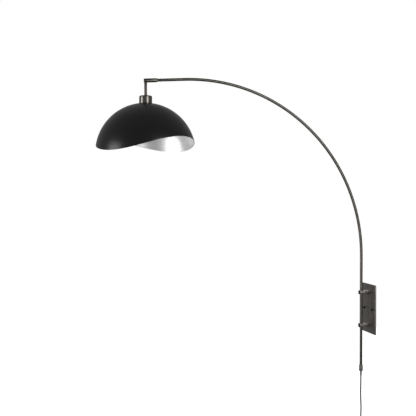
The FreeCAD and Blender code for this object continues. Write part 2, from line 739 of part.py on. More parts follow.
def bottom_collar():
    taper = cone("CollarTaper", V.collar_dia, V.tube_dia + V.taper_lip, V.collar_taper,
                 (0, POLE_Y, COLLAR_TOP - V.collar_taper))
    bar = cylinder("CollarBar", V.collar_dia, V.collar_height - V.collar_taper,
                   (0, POLE_Y, COLLAR_BOTTOM))
    bore = cylinder("CollarBore", V.tube_dia + V.run_gap * 2.0, V.collar_height,
                    (0, POLE_Y, COLLAR_BOTTOM + V.collar_floor))
    hole = cylinder("CollarHole", V.relief_top_dia + V.run_gap * 2.0, V.collar_height,
                    (0, POLE_Y, COLLAR_BOTTOM))
    screw = cylinder("CollarScrewHole", V.grub_dia, V.collar_dia,
                     (0, POLE_Y, COLLAR_SCREW_Z), SIDEWAYS)
    return cut("BottomCollar", fuse("CollarAll", taper, bar), bore, hole, screw)


COLLAR_SCREW_Z = COLLAR_TOP - V.collar_overlap / 2.0


def collar_screw():
    inner = V.tube_dia / 2.0 + V.run_gap
    return cylinder("CollarScrew", V.grub_dia, V.collar_dia / 2.0 - inner - V.seat_gap,
                    (-inner, POLE_Y, COLLAR_SCREW_Z), SIDEWAYS)


def strain_relief():
    """Soft sleeve that tapers along the cord under the collar."""
    flange = V.relief_flange_dia / 2.0
    shaft, tip, bore = V.relief_top_dia / 2.0, V.relief_tip_dia / 2.0, CORD_BORE / 2.0
    neck = V.relief_length + V.collar_floor
    return turned("StrainRelief", [
        (bore, 0), (tip, 0), (shaft, V.relief_length), (shaft, neck), (flange, neck),
        (flange, neck + V.relief_flange), (bore, neck + V.relief_flange)],
        (0, POLE_Y, COLLAR_BOTTOM - V.relief_length))


LEAD_START = COLLAR_BOTTOM + V.collar_floor + V.relief_flange


def inner_lead():
    """Jacketed lead inside the tubes, up to the elbow."""
    bottom = LEAD_START + V.seat_gap
    return fuse("InnerLead", straight_pole("LeadPole", V.cord_dia, bottom),
                ring_part("LeadBend", V.arc_radius, V.cord_dia, V.arc_turn),
                arm_end_bar("LeadEnd", V.cord_dia, 0, V.end_run + V.plug_depth / 2.0))


# ---------------------------------------------------------------- curves for the cords

def arc_between(start, tangent, end, backwards=False):
    """The circular edge that leaves start along tangent and reaches end."""
    chord = end - start
    along = Vector(chord).normalize()
    across = tangent - along * tangent.dot(along)
    ends = (end, start) if backwards else (start, end)
    if across.Length < 1e-6:
        return Part.LineSegment(*ends).toShape()
    sagitta = chord.Length / 2.0 * math.tan(math.acos(min(1.0, tangent.dot(along))) / 2.0)
    top = (start + end) * 0.5 + across.normalize() * sagitta
    return Part.Arc(ends[0], top, ends[1]).toShape()


def biarc(start, tangent, end, end_tangent):
    """Two tangent arcs between two points with given directions."""
    gap = end - start
    both = tangent + end_tangent
    turn = 2.0 * (1.0 - tangent.dot(end_tangent))
    if turn < 1e-9:
        reach = gap.dot(gap) / (4.0 * gap.dot(end_tangent))
    else:
        reach = (-gap.dot(both) + math.sqrt(gap.dot(both) ** 2 + turn * gap.dot(gap))) / turn
    joint = (start + tangent * reach + end - end_tangent * reach) * 0.5
    return [arc_between(start, tangent, joint),
            arc_between(end, end_tangent * -1.0, joint, True)]


def cornered_wire(points, radius=None):
    """Straight runs joined by tangent arcs."""
    edges = []
    last = points[0]
    for before, corner, after in zip(points, points[1:], points[2:]):
        come, leave = (corner - before), (after - corner)
        half = math.acos(max(-1.0, min(1.0, Vector(come).normalize().dot(
            Vector(leave).normalize())))) / 2.0
        run = min(come.Length, leave.Length) * 0.45
        if radius is not None:
            run = radius * math.tan(half)
        start = corner - Vector(come).normalize() * run
        end = corner + Vector(leave).normalize() * run
        edges.append(Part.LineSegment(last, start).toShape())
        edges.append(arc_between(start, Vector(come).normalize(), end))
        last = end
    edges.append(Part.LineSegment(last, points[-1]).toShape())
    return Part.Wire(edges)


def tube_along(label, wire, diameter):
    """A round tube swept along a wire of tangent edges."""
    first = wire.Edges[0]
    start = first.valueAt(first.FirstParameter)
    way = first.tangentAt(first.FirstParameter)
    section = Part.Wire([Part.Circle(start, way, num(diameter) / 2.0).toShape()])
    shape = wire.makePipeShell([section], True, False)
    area = math.pi * num(diameter) ** 2 / 4.0
    radii = [e.Curve.Radius for e in wire.Edges if hasattr(e.Curve, "Radius")]
    print("%s: length %.1f mm, volume/section %.1f mm, radii %s" % (
        label, wire.Length, shape.Volume / area,
        " ".join("%.0f" % r for r in radii[:8]) + ", least %.1f" % min(radii)))
    return shape_feature(label, shape)


def spot(x, y, z):
    return Vector(num(x), num(y), num(z))


def lead_cores():
    """Two insulated wires from the lead, round the elbow, to the lampholder."""
    wires = []
    x, y, z = on_arm_end(V.end_run + V.plug_depth / 2.0 + V.seat_gap)
    side_step = V.wire_dia / 2.0 + V.seat_gap * 3.0
    corner_z = on_arm_end(STEM_RUN)[2]
    for side in (-1.0, 1.0):
        points = [spot(side_step * side, y, z), spot(side_step * side, STEM_Y, corner_z),
                  spot(side_step * side, STEM_Y, NECK_BOTTOM + V.neck_length)]
        wires.append(tube_along("LeadCore", cornered_wire(points, num(V.wire_bend)), V.wire_dia))
    return group("LeadCores", *wires)


DROP_ROUTE = ((0.0, 0.0), (0.228, 0.0), (0.472, -1.6), (0.717, 1.6), (0.878, 0.2), (1.0, 0.0))


def cord_drop():
    """Visible cord: nearly straight, with the slight wave of a once folded cord."""
    length = LEAD_START - SWITCH_TOP + V.cord_tuck
    points = [spot(0, POLE_Y + wave, LEAD_START - length * part) for part, wave in DROP_ROUTE]
    return tube_along("CordDrop", cornered_wire(points), V.cord_dia)


def loop_segments():
    """Arcs of one hank loop: centre, radius, start angle, end angle in the Y-Z plane."""
    loop, half, waist = num(V.hank_loop), num(V.hank_half), num(V.hank_waist)
    bulge = (waist ** 2 + half ** 2 - loop ** 2) / (2.0 * (loop - waist))
    side = waist + bulge
    lean = math.atan2(half, side)
    straight = math.pi
    return [((0, half), loop, 0.0, -lean), ((side, 0), bulge, straight - lean, straight + lean),
            ((0, -half), loop, lean, 0.0), ((0, -half), loop, 0.0, -straight - lean),
            ((-side, 0), bulge, -lean, lean), ((0, half), loop, straight + lean, 0.0)]


def hank_samples():
    """Points and directions along the hank, a flat spiral of drawn-in loops."""
    segments = loop_segments()
    whole = sum(r * abs(b - a) for c, r, a, b in segments)
    tail = segments[:3]
    route = segments * int(round(num(V.hank_turns))) + tail
    length = sum(r * abs(b - a) for c, r, a, b in route)
    slope = num(V.hank_pitch) / whole
    base = spot(-slope * length / 2.0, POLE_Y - V.hank_loop / 2.0, HANK_MIDDLE)
    samples, travelled = [], 0.0
    for centre, radius, first, last in route:
        steps = max(1, int(math.ceil(abs(last - first) / math.radians(50.0))))
        for k in range(steps):
            angle = first + (last - first) * k / steps
            samples.append(loop_sample(base, centre, radius, angle, last > first,
                                       slope, travelled + radius * abs(angle - first)))
        travelled += radius * abs(last - first)
    centre, radius, first, last = route[-1]
    samples.append(loop_sample(base, centre, radius, last, last > first, slope, travelled))
    return samples, slope * length


def loop_sample(base, centre, radius, angle, rising, slope, travelled):
    sign = 1.0 if rising else -1.0
    point = base + Vector(slope * travelled, centre[0] + radius * math.cos(angle),
                          centre[1] + radius * math.sin(angle))
    way = Vector(slope, -sign * math.sin(angle), sign * math.cos(angle)).normalize()
    return point, way


def cord_hank():
    """Spare cord from the switch to the plug, folded into a tied hank."""
    down = Vector(0, 0, -1)
    samples, width = hank_samples()
    entry = spot(0, POLE_Y, SWITCH_BOTTOM + V.cord_tuck)
    bend = spot(0, POLE_Y, SWITCH_BOTTOM - V.cord_tuck)
    last, way = samples[-1]
    drift = way.x / abs(way.z) * num(V.tail_length) / 2.0
    tail = Vector(last.x + drift, last.y, num(PLUG_TOP + V.tail_rise))
    first = samples[0][0]
    aside = Vector(first.x, first.y, bend.z - num(V.hank_drop) * 0.54)
    stations = [(bend, down), (aside, down)] + samples + [(tail, down)]
    edges = [Part.LineSegment(entry, bend).toShape()]
    for (a, ta), (b, tb) in zip(stations, stations[1:]):
        edges.extend(biarc(a, ta, b, tb))
    edges.append(Part.LineSegment(tail, spot(tail.x, tail.y, PLUG_TOP - V.cord_tuck)).toShape())
    report_gap(edges)
    return tube_along("CordHank", Part.Wire(edges), V.cord_dia), tail


def report_gap(edges):
    """Least distance between strands of the hank that lie apart along the cord."""
    places, run = [], 0.0
    for edge in edges:
        count = max(2, int(edge.Length / 2.0))
        ends = edge.discretize(count)
        for a, b in zip(ends, ends[1:]):
            places.append((run, (a + b) * 0.5))
            run += (b - a).Length
    least = min((p - q).Length for i, (s, p) in enumerate(places)
                for t, q in places[i + 8::2] if t - s > 4.0 * num(V.cord_dia))
    print("hank: least gap %.2f mm" % (least - num(V.cord_dia)))


def hank_tie():
    """Flat strap round the hank's waist."""
    samples, width = hank_samples()
    half_x = width / 2.0 + V.cord_dia / 2.0 + V.tie_gap
    sag = V.tie_height * V.tie_height / 180.0
    half_y = V.hank_waist + V.cord_dia / 2.0 + sag + V.tie_gap
    middle = (0, POLE_Y - V.hank_loop / 2.0, HANK_MIDDLE)
    thick = V.tie_thick * 2.0
    outer = block("TieOuter", (half_x * 2.0 + thick, half_y * 2.0 + thick, V.tie_height), middle)
    inner = block("TieInner", (half_x * 2.0, half_y * 2.0, V.tie_height * 1.2), middle)
    corner = V.cord_dia / 2.0

    def upright(edge):
        return runs_along(edge, Vector(0, 0, 1)) or runs_along(edge, Vector(0, 0, -1))

    return cut("HankTie", rounded("TieOuterRound", outer, corner + V.tie_thick, upright),
               rounded("TieInnerRound", inner, corner, upright))


# ---------------------------------------------------------------- in-line switch

ROCKER_TILT = V.rocker_throw / 2.0


def switch_shell(label, side):
    """One half of the switch; side is -1 for the room side and 1 for the wall side."""
    middle = (0, POLE_Y, SWITCH_Z)
    whole = block(label + "Block", (V.switch_width, V.switch_depth, V.switch_length), middle)

    def outer_edge(edge):
        box = edge.BoundBox
        across = abs(box.YMax - box.YMin)
        return across < 0.01 and (box.YMax - num(POLE_Y)) * side > 1.0 or runs_y(edge)

    half = rounded(label + "Round", whole, V.switch_round, outer_edge)
    other = block(label + "Other", (V.switch_width * 1.1, V.switch_depth, V.switch_length * 1.1),
                  (0, POLE_Y - V.switch_depth * (0.5 * side), SWITCH_Z))
    hollow = block(label + "Hollow", (V.switch_width - V.switch_wall * 2.0,
                   V.switch_depth - V.switch_wall * 2.0, V.rocker_length * 2.0), middle)
    channel = cylinder(label + "Channel", CORD_BORE, V.switch_length * 1.1,
                       (0, POLE_Y, SWITCH_BOTTOM - V.switch_length * 0.05))
    tools = [other, hollow, channel]
    for sign in (-1.0, 1.0):
        at = screw_place(sign)
        tools.append(cylinder(label + "ScrewHole", V.case_screw_dia + V.run_gap * 2.0,
                              V.switch_depth - V.switch_wall, at, FROM_WALL))
        if side > 0:
            tools.append(cylinder(label + "ScrewHead", V.case_screw_head + V.seat_gap * 2.0,
                                  V.case_screw_rise + V.case_screw_sink, at, FROM_WALL))
        else:
            x = sign * (V.rocker_width + V.rocker_pin) / 2.0
            tools.append(cylinder(label + "PinSeat", V.rocker_pin + V.run_gap * 2.0,
                                  V.rocker_pin + 0.4, (x - V.rocker_pin / 2.0 - 0.2, ROCKER_Y,
                                                       SWITCH_Z), ALONG_X))
    if side < 0:
        play = V.rocker_play
        tools.append(block(label + "Slot", (V.rocker_width + play, V.switch_depth,
                           V.rocker_length + play * 2.0),
                           (0, POLE_Y - V.switch_depth / 2.0, SWITCH_Z)))
    return cut(label, half, *tools)


def runs_y(edge):
    return runs_along(edge, Vector(0, 1, 0)) or runs_along(edge, Vector(0, -1, 0))


def screw_place(sign):
    """Start of a switch screw on the shell's wall side."""
    return (V.switch_width * (0.3 * sign), POLE_Y + V.switch_depth / 2.0,
            SWITCH_Z + V.switch_length * (0.38 * sign))


ROCKER_Y = POLE_Y - V.switch_depth / 2.0 + V.rocker_pin / 2.0 + V.rocker_play


def switch_screws():
    length = V.switch_depth - V.switch_wall - V.case_screw_rise - V.case_screw_sink * 2.0
    return group("SwitchScrews", *[bolt("SwitchScrew", V.case_screw_head, V.case_screw_rise,
                                        V.case_screw_dia, length, screw_place_in(sign),
                                        FROM_WALL) for sign in (-1.0, 1.0)])


def screw_place_in(sign):
    x, y, z = screw_place(sign)
    return (x, y - V.case_screw_sink, z)


def switch_rocker():
    """Two-position rocker on a cross pin, resting tipped to its on side."""
    body = DOC.addObject("PartDesign::Body", "RockerBody")
    sketch = sketch_on(body, "RockerOutline", "XZ_Plane")
    half, low, high = V.rocker_length / 2.0, -V.rocker_depth, V.rocker_rise
    outline(sketch, [(-half, low), (half, low), (half, high), (0, high / 2.0), (-half, high)])
    pad = body.newObject("PartDesign::Pad", "RockerPad")
    pad.Profile = sketch
    bind(pad, Length=V.rocker_width)
    pad.Midplane = True
    body.Tip = pad
    upright = Rotation(Vector(0, 0, 1), Vector(-1, 0, 0), Vector(0, -1, 0), "XZY")
    tipped = Rotation(Vector(1, 0, 0), num(ROCKER_TILT)).multiply(upright)
    place(body, (0, ROCKER_Y, SWITCH_Z), tipped)
    length = V.rocker_width + V.rocker_pin * 2.0
    pin = cylinder("RockerPin", V.rocker_pin, length, (length / -2.0, ROCKER_Y, SWITCH_Z),
                   ALONG_X)
    return fuse("SwitchRocker", body, pin)


def switch_contacts():
    """Two brass strips inside the switch, one under each end of the rocker."""
    back = V.switch_depth / 2.0 - V.switch_wall - V.strip_thick / 2.0 - V.seat_gap
    strips = [block("SwitchContact", (V.strip_width, V.strip_thick, V.rocker_length * 0.7),
                    (0, POLE_Y + back, SWITCH_Z + V.rocker_length * (0.5 * side)))
              for side in (-1.0, 1.0)]
    return group("SwitchContacts", *strips)


# ---------------------------------------------------------------- plug

def plug_body(entry):
    """Moulded plug at the cord's end; entry is where the cord comes in."""
    x, y = entry.x, entry.y
    cuff = V.plug_length / 3.0
    core = block("PlugBlock", (V.plug_width, V.plug_thick, V.plug_length - cuff),
                 (x, y, PLUG_TOP - (V.plug_length + cuff) / 2.0))
    body = rounded("PlugRound", core, V.plug_thick / 4.0, lambda e: True)
    neck = cone("PlugCuff", V.plug_thick * 0.85, V.cord_dia * 1.35, cuff + V.plug_thick / 4.0,
                (x, y, PLUG_TOP - cuff - V.plug_thick / 4.0))
    bore = cylinder("PlugBore", CORD_BORE, V.cord_tuck + 0.2, (x, y, PLUG_TOP - V.cord_tuck - 0.2))
    slots = [blade(x, y, side, V.run_gap) for side in (-0.5, 0.5)]
    return cut("PlugBody", fuse("PlugAll", body, neck), bore, *slots)


def blade(x, y, side, play):
    root_depth = V.plug_length / 4.0
    return block("PlugBlade", (V.blade_thick + play * 2.0, V.blade_width + play * 2.0,
                               V.blade_length + root_depth),
                 (V.blade_spacing * side + x, y,
                  PLUG_TOP - V.plug_length - V.blade_length / 2.0 + root_depth / 2.0))


def plug_blades(entry):
    return group("PlugBlades", *[blade(entry.x, entry.y, side, 0.0) for side in (-0.5, 0.5)])


# ---------------------------------------------------------------- build and export

def build_nodes():
    hank, entry = cord_hank()
    nodes = {
        "wall_plate": wall_plate(), "mounting_strap": mounting_strap(),
        "strap_studs": strap_studs(), "cap_nuts": cap_nuts(),
        "upper_post": post("upper"), "lower_post": post("lower"),
        "post_screws": post_screws(), "upper_bush": bush("upper"), "lower_bush": bush("lower"),
        "upper_clamp_knob": clamp_knob("upper"), "lower_clamp_knob": clamp_knob("lower"),
        "pole_tube": pole_tube(), "pole_coupler": pole_coupler(), "arc_lower": arc_lower(),
        "arc_coupler": arc_coupler(), "arc_upper": arc_upper(),
        "coupler_screws": coupler_screws(), "elbow_sleeve": elbow_sleeve(),
        "sleeve_screw": sleeve_screw(), "stem": stem(), "jam_nut": jam_nut(), "cup": cup(),
        "lampholder_body": lampholder_body(), "holder_core": holder_core(),
        "screw_shell": screw_shell(), "centre_contact": centre_contact(),
        "shade_ring": shade_ring(), "shade": shade(), "bottom_collar": bottom_collar(),
        "collar_screw": collar_screw(), "strain_relief": strain_relief(),
        "inner_lead": inner_lead(), "lead_cores": lead_cores(), "cord_drop": cord_drop(),
        "switch_front": switch_shell("SwitchFront", -1.0),
        "switch_back": switch_shell("SwitchBack", 1.0), "switch_rocker": switch_rocker(),
        "switch_screws": switch_screws(), "switch_contacts": switch_contacts(),
        "cord_hank": hank, "hank_tie": hank_tie(), "plug_body": plug_body(entry),
        "plug_blades": plug_blades(entry),
    }
    for name, feature in nodes.items():
        feature.Label = name
    return nodes


def check_and_export(nodes):
    DOC.recompute()
    for feature in DOC.Objects:
        if "Invalid" in feature.State or "Error" in feature.State:
            raise RuntimeError("feature %s did not rebuild" % feature.Label)
    os.makedirs("parts", exist_ok=True)
    for name, feature in nodes.items():
        shape = feature.Shape
        if shape.isNull() or not shape.isValid() or shape.Volume <= 0.0:
            raise RuntimeError("node %s has no valid solid" % name)
        shape.exportStep("parts/%s.step" % name)
        print("%s: %d solid(s), %.1f mm3" % (name, len(shape.Solids), shape.Volume))


check_and_export(build_nodes())
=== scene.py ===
import math

import bpy
from bpy.props import FloatProperty, FloatVectorProperty, PointerProperty
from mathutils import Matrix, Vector


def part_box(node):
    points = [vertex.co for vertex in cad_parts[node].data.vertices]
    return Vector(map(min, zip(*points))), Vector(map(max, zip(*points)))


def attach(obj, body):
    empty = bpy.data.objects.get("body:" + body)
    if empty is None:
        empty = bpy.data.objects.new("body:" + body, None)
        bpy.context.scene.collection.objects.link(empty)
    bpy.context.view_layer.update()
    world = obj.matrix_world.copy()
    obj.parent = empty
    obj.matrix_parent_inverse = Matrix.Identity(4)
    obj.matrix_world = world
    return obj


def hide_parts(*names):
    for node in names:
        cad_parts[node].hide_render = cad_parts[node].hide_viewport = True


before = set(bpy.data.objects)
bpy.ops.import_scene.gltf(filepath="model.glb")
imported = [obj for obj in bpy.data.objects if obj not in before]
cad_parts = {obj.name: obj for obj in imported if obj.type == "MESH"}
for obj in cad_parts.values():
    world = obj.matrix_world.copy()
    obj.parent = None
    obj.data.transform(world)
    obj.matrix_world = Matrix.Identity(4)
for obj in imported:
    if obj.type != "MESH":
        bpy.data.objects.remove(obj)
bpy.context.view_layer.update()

bl_info = {
    "name": "Arc wall sconce",
    "version": (1, 0, 0),
    "blender": (4, 5, 0),
    "location": "3D View > Sidebar > Sconce",
    "description": "Builds a plug-in arc wall sconce with a wavy dome shade",
    "category": "Add Mesh",
}

ORIGIN = Vector((0.0, 0.0, 0.0))
UP = Vector((0.0, 0.0, 1.0))
TO_ROOM = Vector((0.0, -1.0, 0.0))
ACROSS = Vector((1.0, 0.0, 0.0))
WHITE = (1.0, 1.0, 1.0, 1.0)
NO_EDGE = -1.0     # for a piece whose edges are rounded later
MERGE_GAP = 2e-6   # corners nearer than this become one
FACE_GAP = 1e-5    # corners nearer than this to a face count as on it
FIT = 0.00005      # clearance between pieces that slide into each other
NIPPLE = 0.005     # radius of the threaded nipple under the stem
NECK = 0.020       # radius of the lampholder's neck, which carries the shade
CAP_BORE = 0.0133  # radius of the room for the lamp's cap
CORD_BORE = 0.0033   # radius of the cord's way through relief and plug
SWITCH_FACE = 0.0095   # from the switch's middle to its front
BRUSHED = 420.0    # how fine the brushed metal's scratches are across the grain


def centre_of(node):
    low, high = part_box(node)
    return (low + high) / 2.0


def width_of(node, axis=0):
    low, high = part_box(node)
    return high[axis] - low[axis]


POLE_Y = centre_of("pole_tube").y
STEM_Y = centre_of("cup").y
CUP_LOW, CUP_HIGH = (corner.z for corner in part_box("cup"))
POLE_LOW, POLE_HIGH = (corner.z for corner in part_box("pole_tube"))
NECK_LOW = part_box("lampholder_body")[0].z
COLLAR_LOW, COLLAR_HIGH = (corner.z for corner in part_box("bottom_collar"))
RELIEF_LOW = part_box("strain_relief")[0].z
SWITCH_LOW = min(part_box("switch_front")[0].z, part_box("switch_back")[0].z)
SWITCH_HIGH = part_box("switch_front")[1].z
SWITCH = Vector((0.0, POLE_Y, (SWITCH_LOW + SWITCH_HIGH) / 2.0))
TIE = centre_of("hank_tie")
PLUG = centre_of("plug_body")
PLUG_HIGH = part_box("plug_body")[1].z


def length_size(name, description, default):
    return FloatProperty(name=name, description=description, default=default,
                         min=0.0, unit="LENGTH", precision=5)


def angle_size(name, description, default):
    return FloatProperty(name=name, description=description, default=math.radians(default),
                         unit="ROTATION")


def paint(name, description, default):
    return FloatVectorProperty(name=name, description=description, default=default,
                               size=3, min=0.0, max=1.0, subtype="COLOR")


class SconceSizes(bpy.types.PropertyGroup):
    """Sizes that a user may change before the pieces are made"""
    tube_dia: length_size("Tube", "Outside diameter of the bent arm", width_of("pole_tube"))
    tube_wall: length_size("Tube wall", "Wall of the bent arm", 0.0011)
    bend_radius: length_size("Bend radius", "Radius of the arm's centreline", 0.771)
    bend_angle: angle_size("Bend angle", "How far the arm turns", 93.4)
    end_run: length_size("End run", "Straight run of the arm before its sleeve", 0.1146)
    plug_depth: length_size("Tube in sleeve", "How deep the arm sits in the sleeve", 0.036)
    sleeve_dia: length_size("Sleeve", "Diameter of the elbow sleeve", 0.0175)
    sleeve_length: length_size("Sleeve length", "Length of the elbow sleeve", 0.058)
    edge: length_size("Edge", "Rounding of turned edges", 0.0004)
    dome_radius: length_size("Dome radius", "Radius of the shade's ball", 0.213)
    dome_wall: length_size("Dome wall", "Sheet of the shade", 0.0015)
    rim_level: length_size("Rim level", "Mean height of the rim over the ball's centre", 0.0365)
    rim_wave: length_size("Rim wave", "Rise and fall of the rim", 0.0267)
    rim_tilt: length_size("Rim tilt", "How much higher the rim is at its wall side", 0.005)
    rim_turn: angle_size("Rim turn", "Where the rim is highest", 41.2)
    cord_dia: length_size("Cord", "Diameter of the cord", 0.0065)


class SconceColours(bpy.types.PropertyGroup):
    """Colours of the finishes"""
    bronze: paint("Bronze", "Dark bronze of the arm", (0.074, 0.068, 0.061))
    bronze_rubbed: paint("Rubbed bronze", "Lighter streaks of the arm", (0.096, 0.089, 0.081))
    plate: paint("Plate", "Grey bronze of the wall plate", (0.13, 0.12, 0.112))
    black: paint("Black", "Knobs and nuts", (0.008, 0.008, 0.008))
    shade: paint("Shade", "Satin black outside", (0.0015, 0.0015, 0.0015))
    silver: paint("Silver", "Leaf inside the shade", (0.80, 0.80, 0.80))
    cord: paint("Cord", "Dark grey cord", (0.045, 0.045, 0.045))
    moulding: paint("Moulding", "Black mouldings", (0.012, 0.012, 0.012))
    brass: paint("Brass", "Lamp shell and contacts", (0.72, 0.52, 0.24))
    zinc: paint("Zinc", "Plated steel behind the plate", (0.52, 0.52, 0.50))
    # The post colours are a lighter copy of the arm's bronze, which the posts share: part brushed
    # streaks, part painted light from above.
    post: paint("Posts", "Brushed bronze of the posts", (0.15, 0.142, 0.132))
    post_rubbed_and_lit: paint("Rubbed posts", "Lighter streaks of the posts", (0.24, 0.228, 0.214))
    collar: paint("Collar", "Grey bronze of the collar", (0.10, 0.10, 0.09))
    collar_rubbed: paint("Rubbed collar", "Lighter streaks of the collar", (0.15, 0.15, 0.135))
    nylon: paint("Nylon", "Bushes in the posts", (0.62, 0.60, 0.54))
    nylon_light: paint("Light nylon", "Lighter clouds of the bushes", (0.72, 0.70, 0.64))


def sizes():
    return bpy.context.scene.sconce_sizes


def colours():
    return bpy.context.scene.sconce_colours


def toned(colour, share):
    """The colour made darker or lighter by a share."""
    return tuple(part * share for part in colour)


# ------------------------------------------------------------------ materials

def node_of(tree, kind, **inputs):
    node = tree.nodes.new(kind)
    for name, value in inputs.items():
        if name in node.inputs:
            node.inputs[name].default_value = value
        else:
            setattr(node, name, value)
    return node


def stretched_noise(tree, source, scale, grain, detail=6.0, roughness=0.6):
    """Noise on a coordinate, drawn out by the three grain numbers."""
    mapping = node_of(tree, "ShaderNodeMapping", Scale=grain)
    noise = node_of(tree, "ShaderNodeTexNoise", Scale=scale, Detail=detail, Roughness=roughness)
    tree.links.new(source, mapping.inputs["Vector"])
    tree.links.new(mapping.outputs["Vector"], noise.inputs["Vector"])
    return noise.outputs["Fac"]


def ranged(tree, source, low, high, start=0.35, end=0.65):
    node = node_of(tree, "ShaderNodeMapRange")
    for name, value in (("From Min", start), ("From Max", end), ("To Min", low), ("To Max", high)):
        node.inputs[name].default_value = value
    tree.links.new(source, node.inputs["Value"])
    return node.outputs["Result"]


def blended(tree, factor, first, second):
    node = tree.nodes.new("ShaderNodeMix")
    node.data_type = "RGBA"
    node.inputs[6].default_value = (*first, 1.0)
    node.inputs[7].default_value = (*second, 1.0)
    tree.links.new(factor, node.inputs[0])
    return node.outputs[2]


def object_place(tree):
    return tree.nodes.new("ShaderNodeTexCoord").outputs["Object"]


def split_up(tree, source):
    split = tree.nodes.new("ShaderNodeSeparateXYZ")
    tree.links.new(source, split.inputs[0])
    return [split.outputs[axis] for axis in "XYZ"]


def joined(tree, *parts):
    """One vector from up to three numbers; a number left as None stays 0."""
    whole = tree.nodes.new("ShaderNodeCombineXYZ")
    for part, axis in zip(parts, "XYZ"):
        if part is not None:
            tree.links.new(part, whole.inputs[axis])
    return whole.outputs[0]


def sum_of(tree, source, amount):
    node = node_of(tree, "ShaderNodeMath", operation="ADD")
    node.inputs[1].default_value = amount
    tree.links.new(source, node.inputs[0])
    return node.outputs[0]


def angle_of(tree, rise, run):
    node = node_of(tree, "ShaderNodeMath", operation="ARCTAN2")
    tree.links.new(rise, node.inputs[0])
    tree.links.new(run, node.inputs[1])
    return node.outputs[0]


def bend_coordinates(tree):
    """Coordinates that follow the arm's bend: across, around and along the tube."""
    across, y, z = split_up(tree, object_place(tree))
    out, up = sum_of(tree, y, sizes().bend_radius - POLE_Y), sum_of(tree, z, -POLE_HIGH)
    reach = node_of(tree, "ShaderNodeVectorMath", operation="LENGTH")
    tree.links.new(joined(tree, out, up), reach.inputs[0])
    return joined(tree, across, reach.outputs["Value"], angle_of(tree, up, out))


def ring_coordinates(tree):
    """Coordinates round the shade's upright axis: the angle, 0 and the height."""
    moved = node_of(tree, "ShaderNodeMapping", Location=(0.0, -STEM_Y, 0.0))
    tree.links.new(object_place(tree), moved.inputs["Vector"])
    x, y, z = split_up(tree, moved.outputs[0])
    return joined(tree, angle_of(tree, y, x), None, z)


def finish_of(name, dark, light, metallic=0.0, rough=(0.35, 0.5), scale=400.0,
              grain=(1.0, 1.0, 1.0), bump=0.02, bump_scale=900.0, level=0.5, share=(0.4, 0.65),
              coordinates=None, detail=6.0):
    """A surface whose colour, roughness and height all vary with noise."""
    name = "finish_" + name
    found = bpy.data.materials.get(name)
    if found:
        return found
    material = bpy.data.materials.new(name)
    material.use_nodes = True
    tree = material.node_tree
    shader = tree.nodes["Principled BSDF"]
    shader.inputs["Metallic"].default_value = metallic
    shader.inputs["Specular IOR Level"].default_value = level
    source = (coordinates or object_place)(tree)
    cloud = stretched_noise(tree, source, scale, grain, detail)
    factor = ranged(tree, cloud, 0.0, 1.0, *share)
    tree.links.new(blended(tree, factor, dark, light), shader.inputs["Base Color"])
    tree.links.new(ranged(tree, cloud, rough[1], rough[0]), shader.inputs["Roughness"])
    height = node_of(tree, "ShaderNodeBump", Strength=bump, Distance=0.0004)
    tree.links.new(stretched_noise(tree, source, bump_scale, grain, 3.0),
                   height.inputs["Height"])
    tree.links.new(height.outputs["Normal"], shader.inputs["Normal"])
    return material


def arm_bronze(name="bronze_bend", coordinates=bend_coordinates, grain=(BRUSHED, BRUSHED, 9.0),
               tone=1.0, rough=(0.26, 0.32)):
    """Satin bronze with streaks along the tube, where the grain's number is small."""
    c = colours()
    return finish_of(name, toned(c.bronze, tone), toned(c.bronze_rubbed, tone), 1.0, rough, 1.0,
                     grain, 0.01, 3.0, 0.4, (0.32, 0.72), coordinates, detail=2.0)


def pole_bronze():
    return arm_bronze("bronze_straight", None, (BRUSHED, BRUSHED, 12.0))


def post_bronze():
    """The posts' rougher brushed bronze, which catches light from above all along; its colours are a
    lighter copy of the arm's, so part of that light is painted in.
    """
    c = colours()
    return finish_of("bronze_posts", c.post, c.post_rubbed_and_lit, 0.7, (0.45, 0.6), 1.0,
                     (BRUSHED, 16.0, BRUSHED), 0.02, 3.0, 0.4, (0.36, 0.7))


def collar_grey():
    c = colours()
    return finish_of("collar_grey", c.collar, c.collar_rubbed, 0.4, (0.4, 0.52), 1.0,
                     (300.0, 300.0, 14.0), 0.03, 3.0)


def plate_bronze():
    c = colours()
    return finish_of("plate_bronze", c.plate, toned(c.plate, 1.5), 0.9, (0.38, 0.5), 60.0,
                     (3.0, 3.0, 0.35), 0.05, 1400.0, 0.3)


def black_metal():
    c = colours()
    return finish_of("black_metal", c.black, toned(c.black, 1.8), 0.0, (0.38, 0.48), 700.0,
                     bump=0.03, level=0.2)


def moulded(name="moulded_black", rough=(0.4, 0.55)):
    c = colours()
    return finish_of(name, c.moulding, toned(c.moulding, 1.7), 0.0, rough, 900.0,
                     bump=0.05, bump_scale=2600.0, level=0.4)


def glossy_moulded():
    return moulded("moulded_gloss", (0.22, 0.32))


def soft_moulded():
    return moulded("soft_black", (0.5, 0.65))


def plated():
    c = colours()
    return finish_of("zinc_plated", toned(c.zinc, 0.8), c.zinc, 1.0, (0.28, 0.45), 500.0,
                     (1.0, 6.0, 1.0), 0.03)


def brass():
    c = colours()
    return finish_of("brass", toned(c.brass, 0.8), c.brass, 1.0, (0.22, 0.36), 500.0)


def pale_plastic():
    c = colours()
    return finish_of("nylon", c.nylon, c.nylon_light, 0.0, (0.4, 0.55), 300.0)


def cord_skin():
    c = colours()
    return finish_of("cord_skin", c.cord, toned(c.cord, 1.5), 0.0, (0.38, 0.5), 500.0,
                     (1.0, 1.0, 0.2), 0.05, 1800.0, 0.4)


def shade_paint():
    c = colours()
    return finish_of("shade_black", c.shade, toned(c.shade, 1.5), 0.0, (0.27, 0.33), 35.0,
                     bump=0.01, bump_scale=2200.0, level=0.4)


def silver_leaf():
    """Leaf with fine streaks that run round the dome."""
    c = colours()
    return finish_of("silver_leaf", toned(c.silver, 0.8), c.silver, 1.0, (0.34, 0.44), 1.0,
                     (1.3, 1.0, BRUSHED), 0.05, 1.4, 0.5, (0.3, 0.62), ring_coordinates)


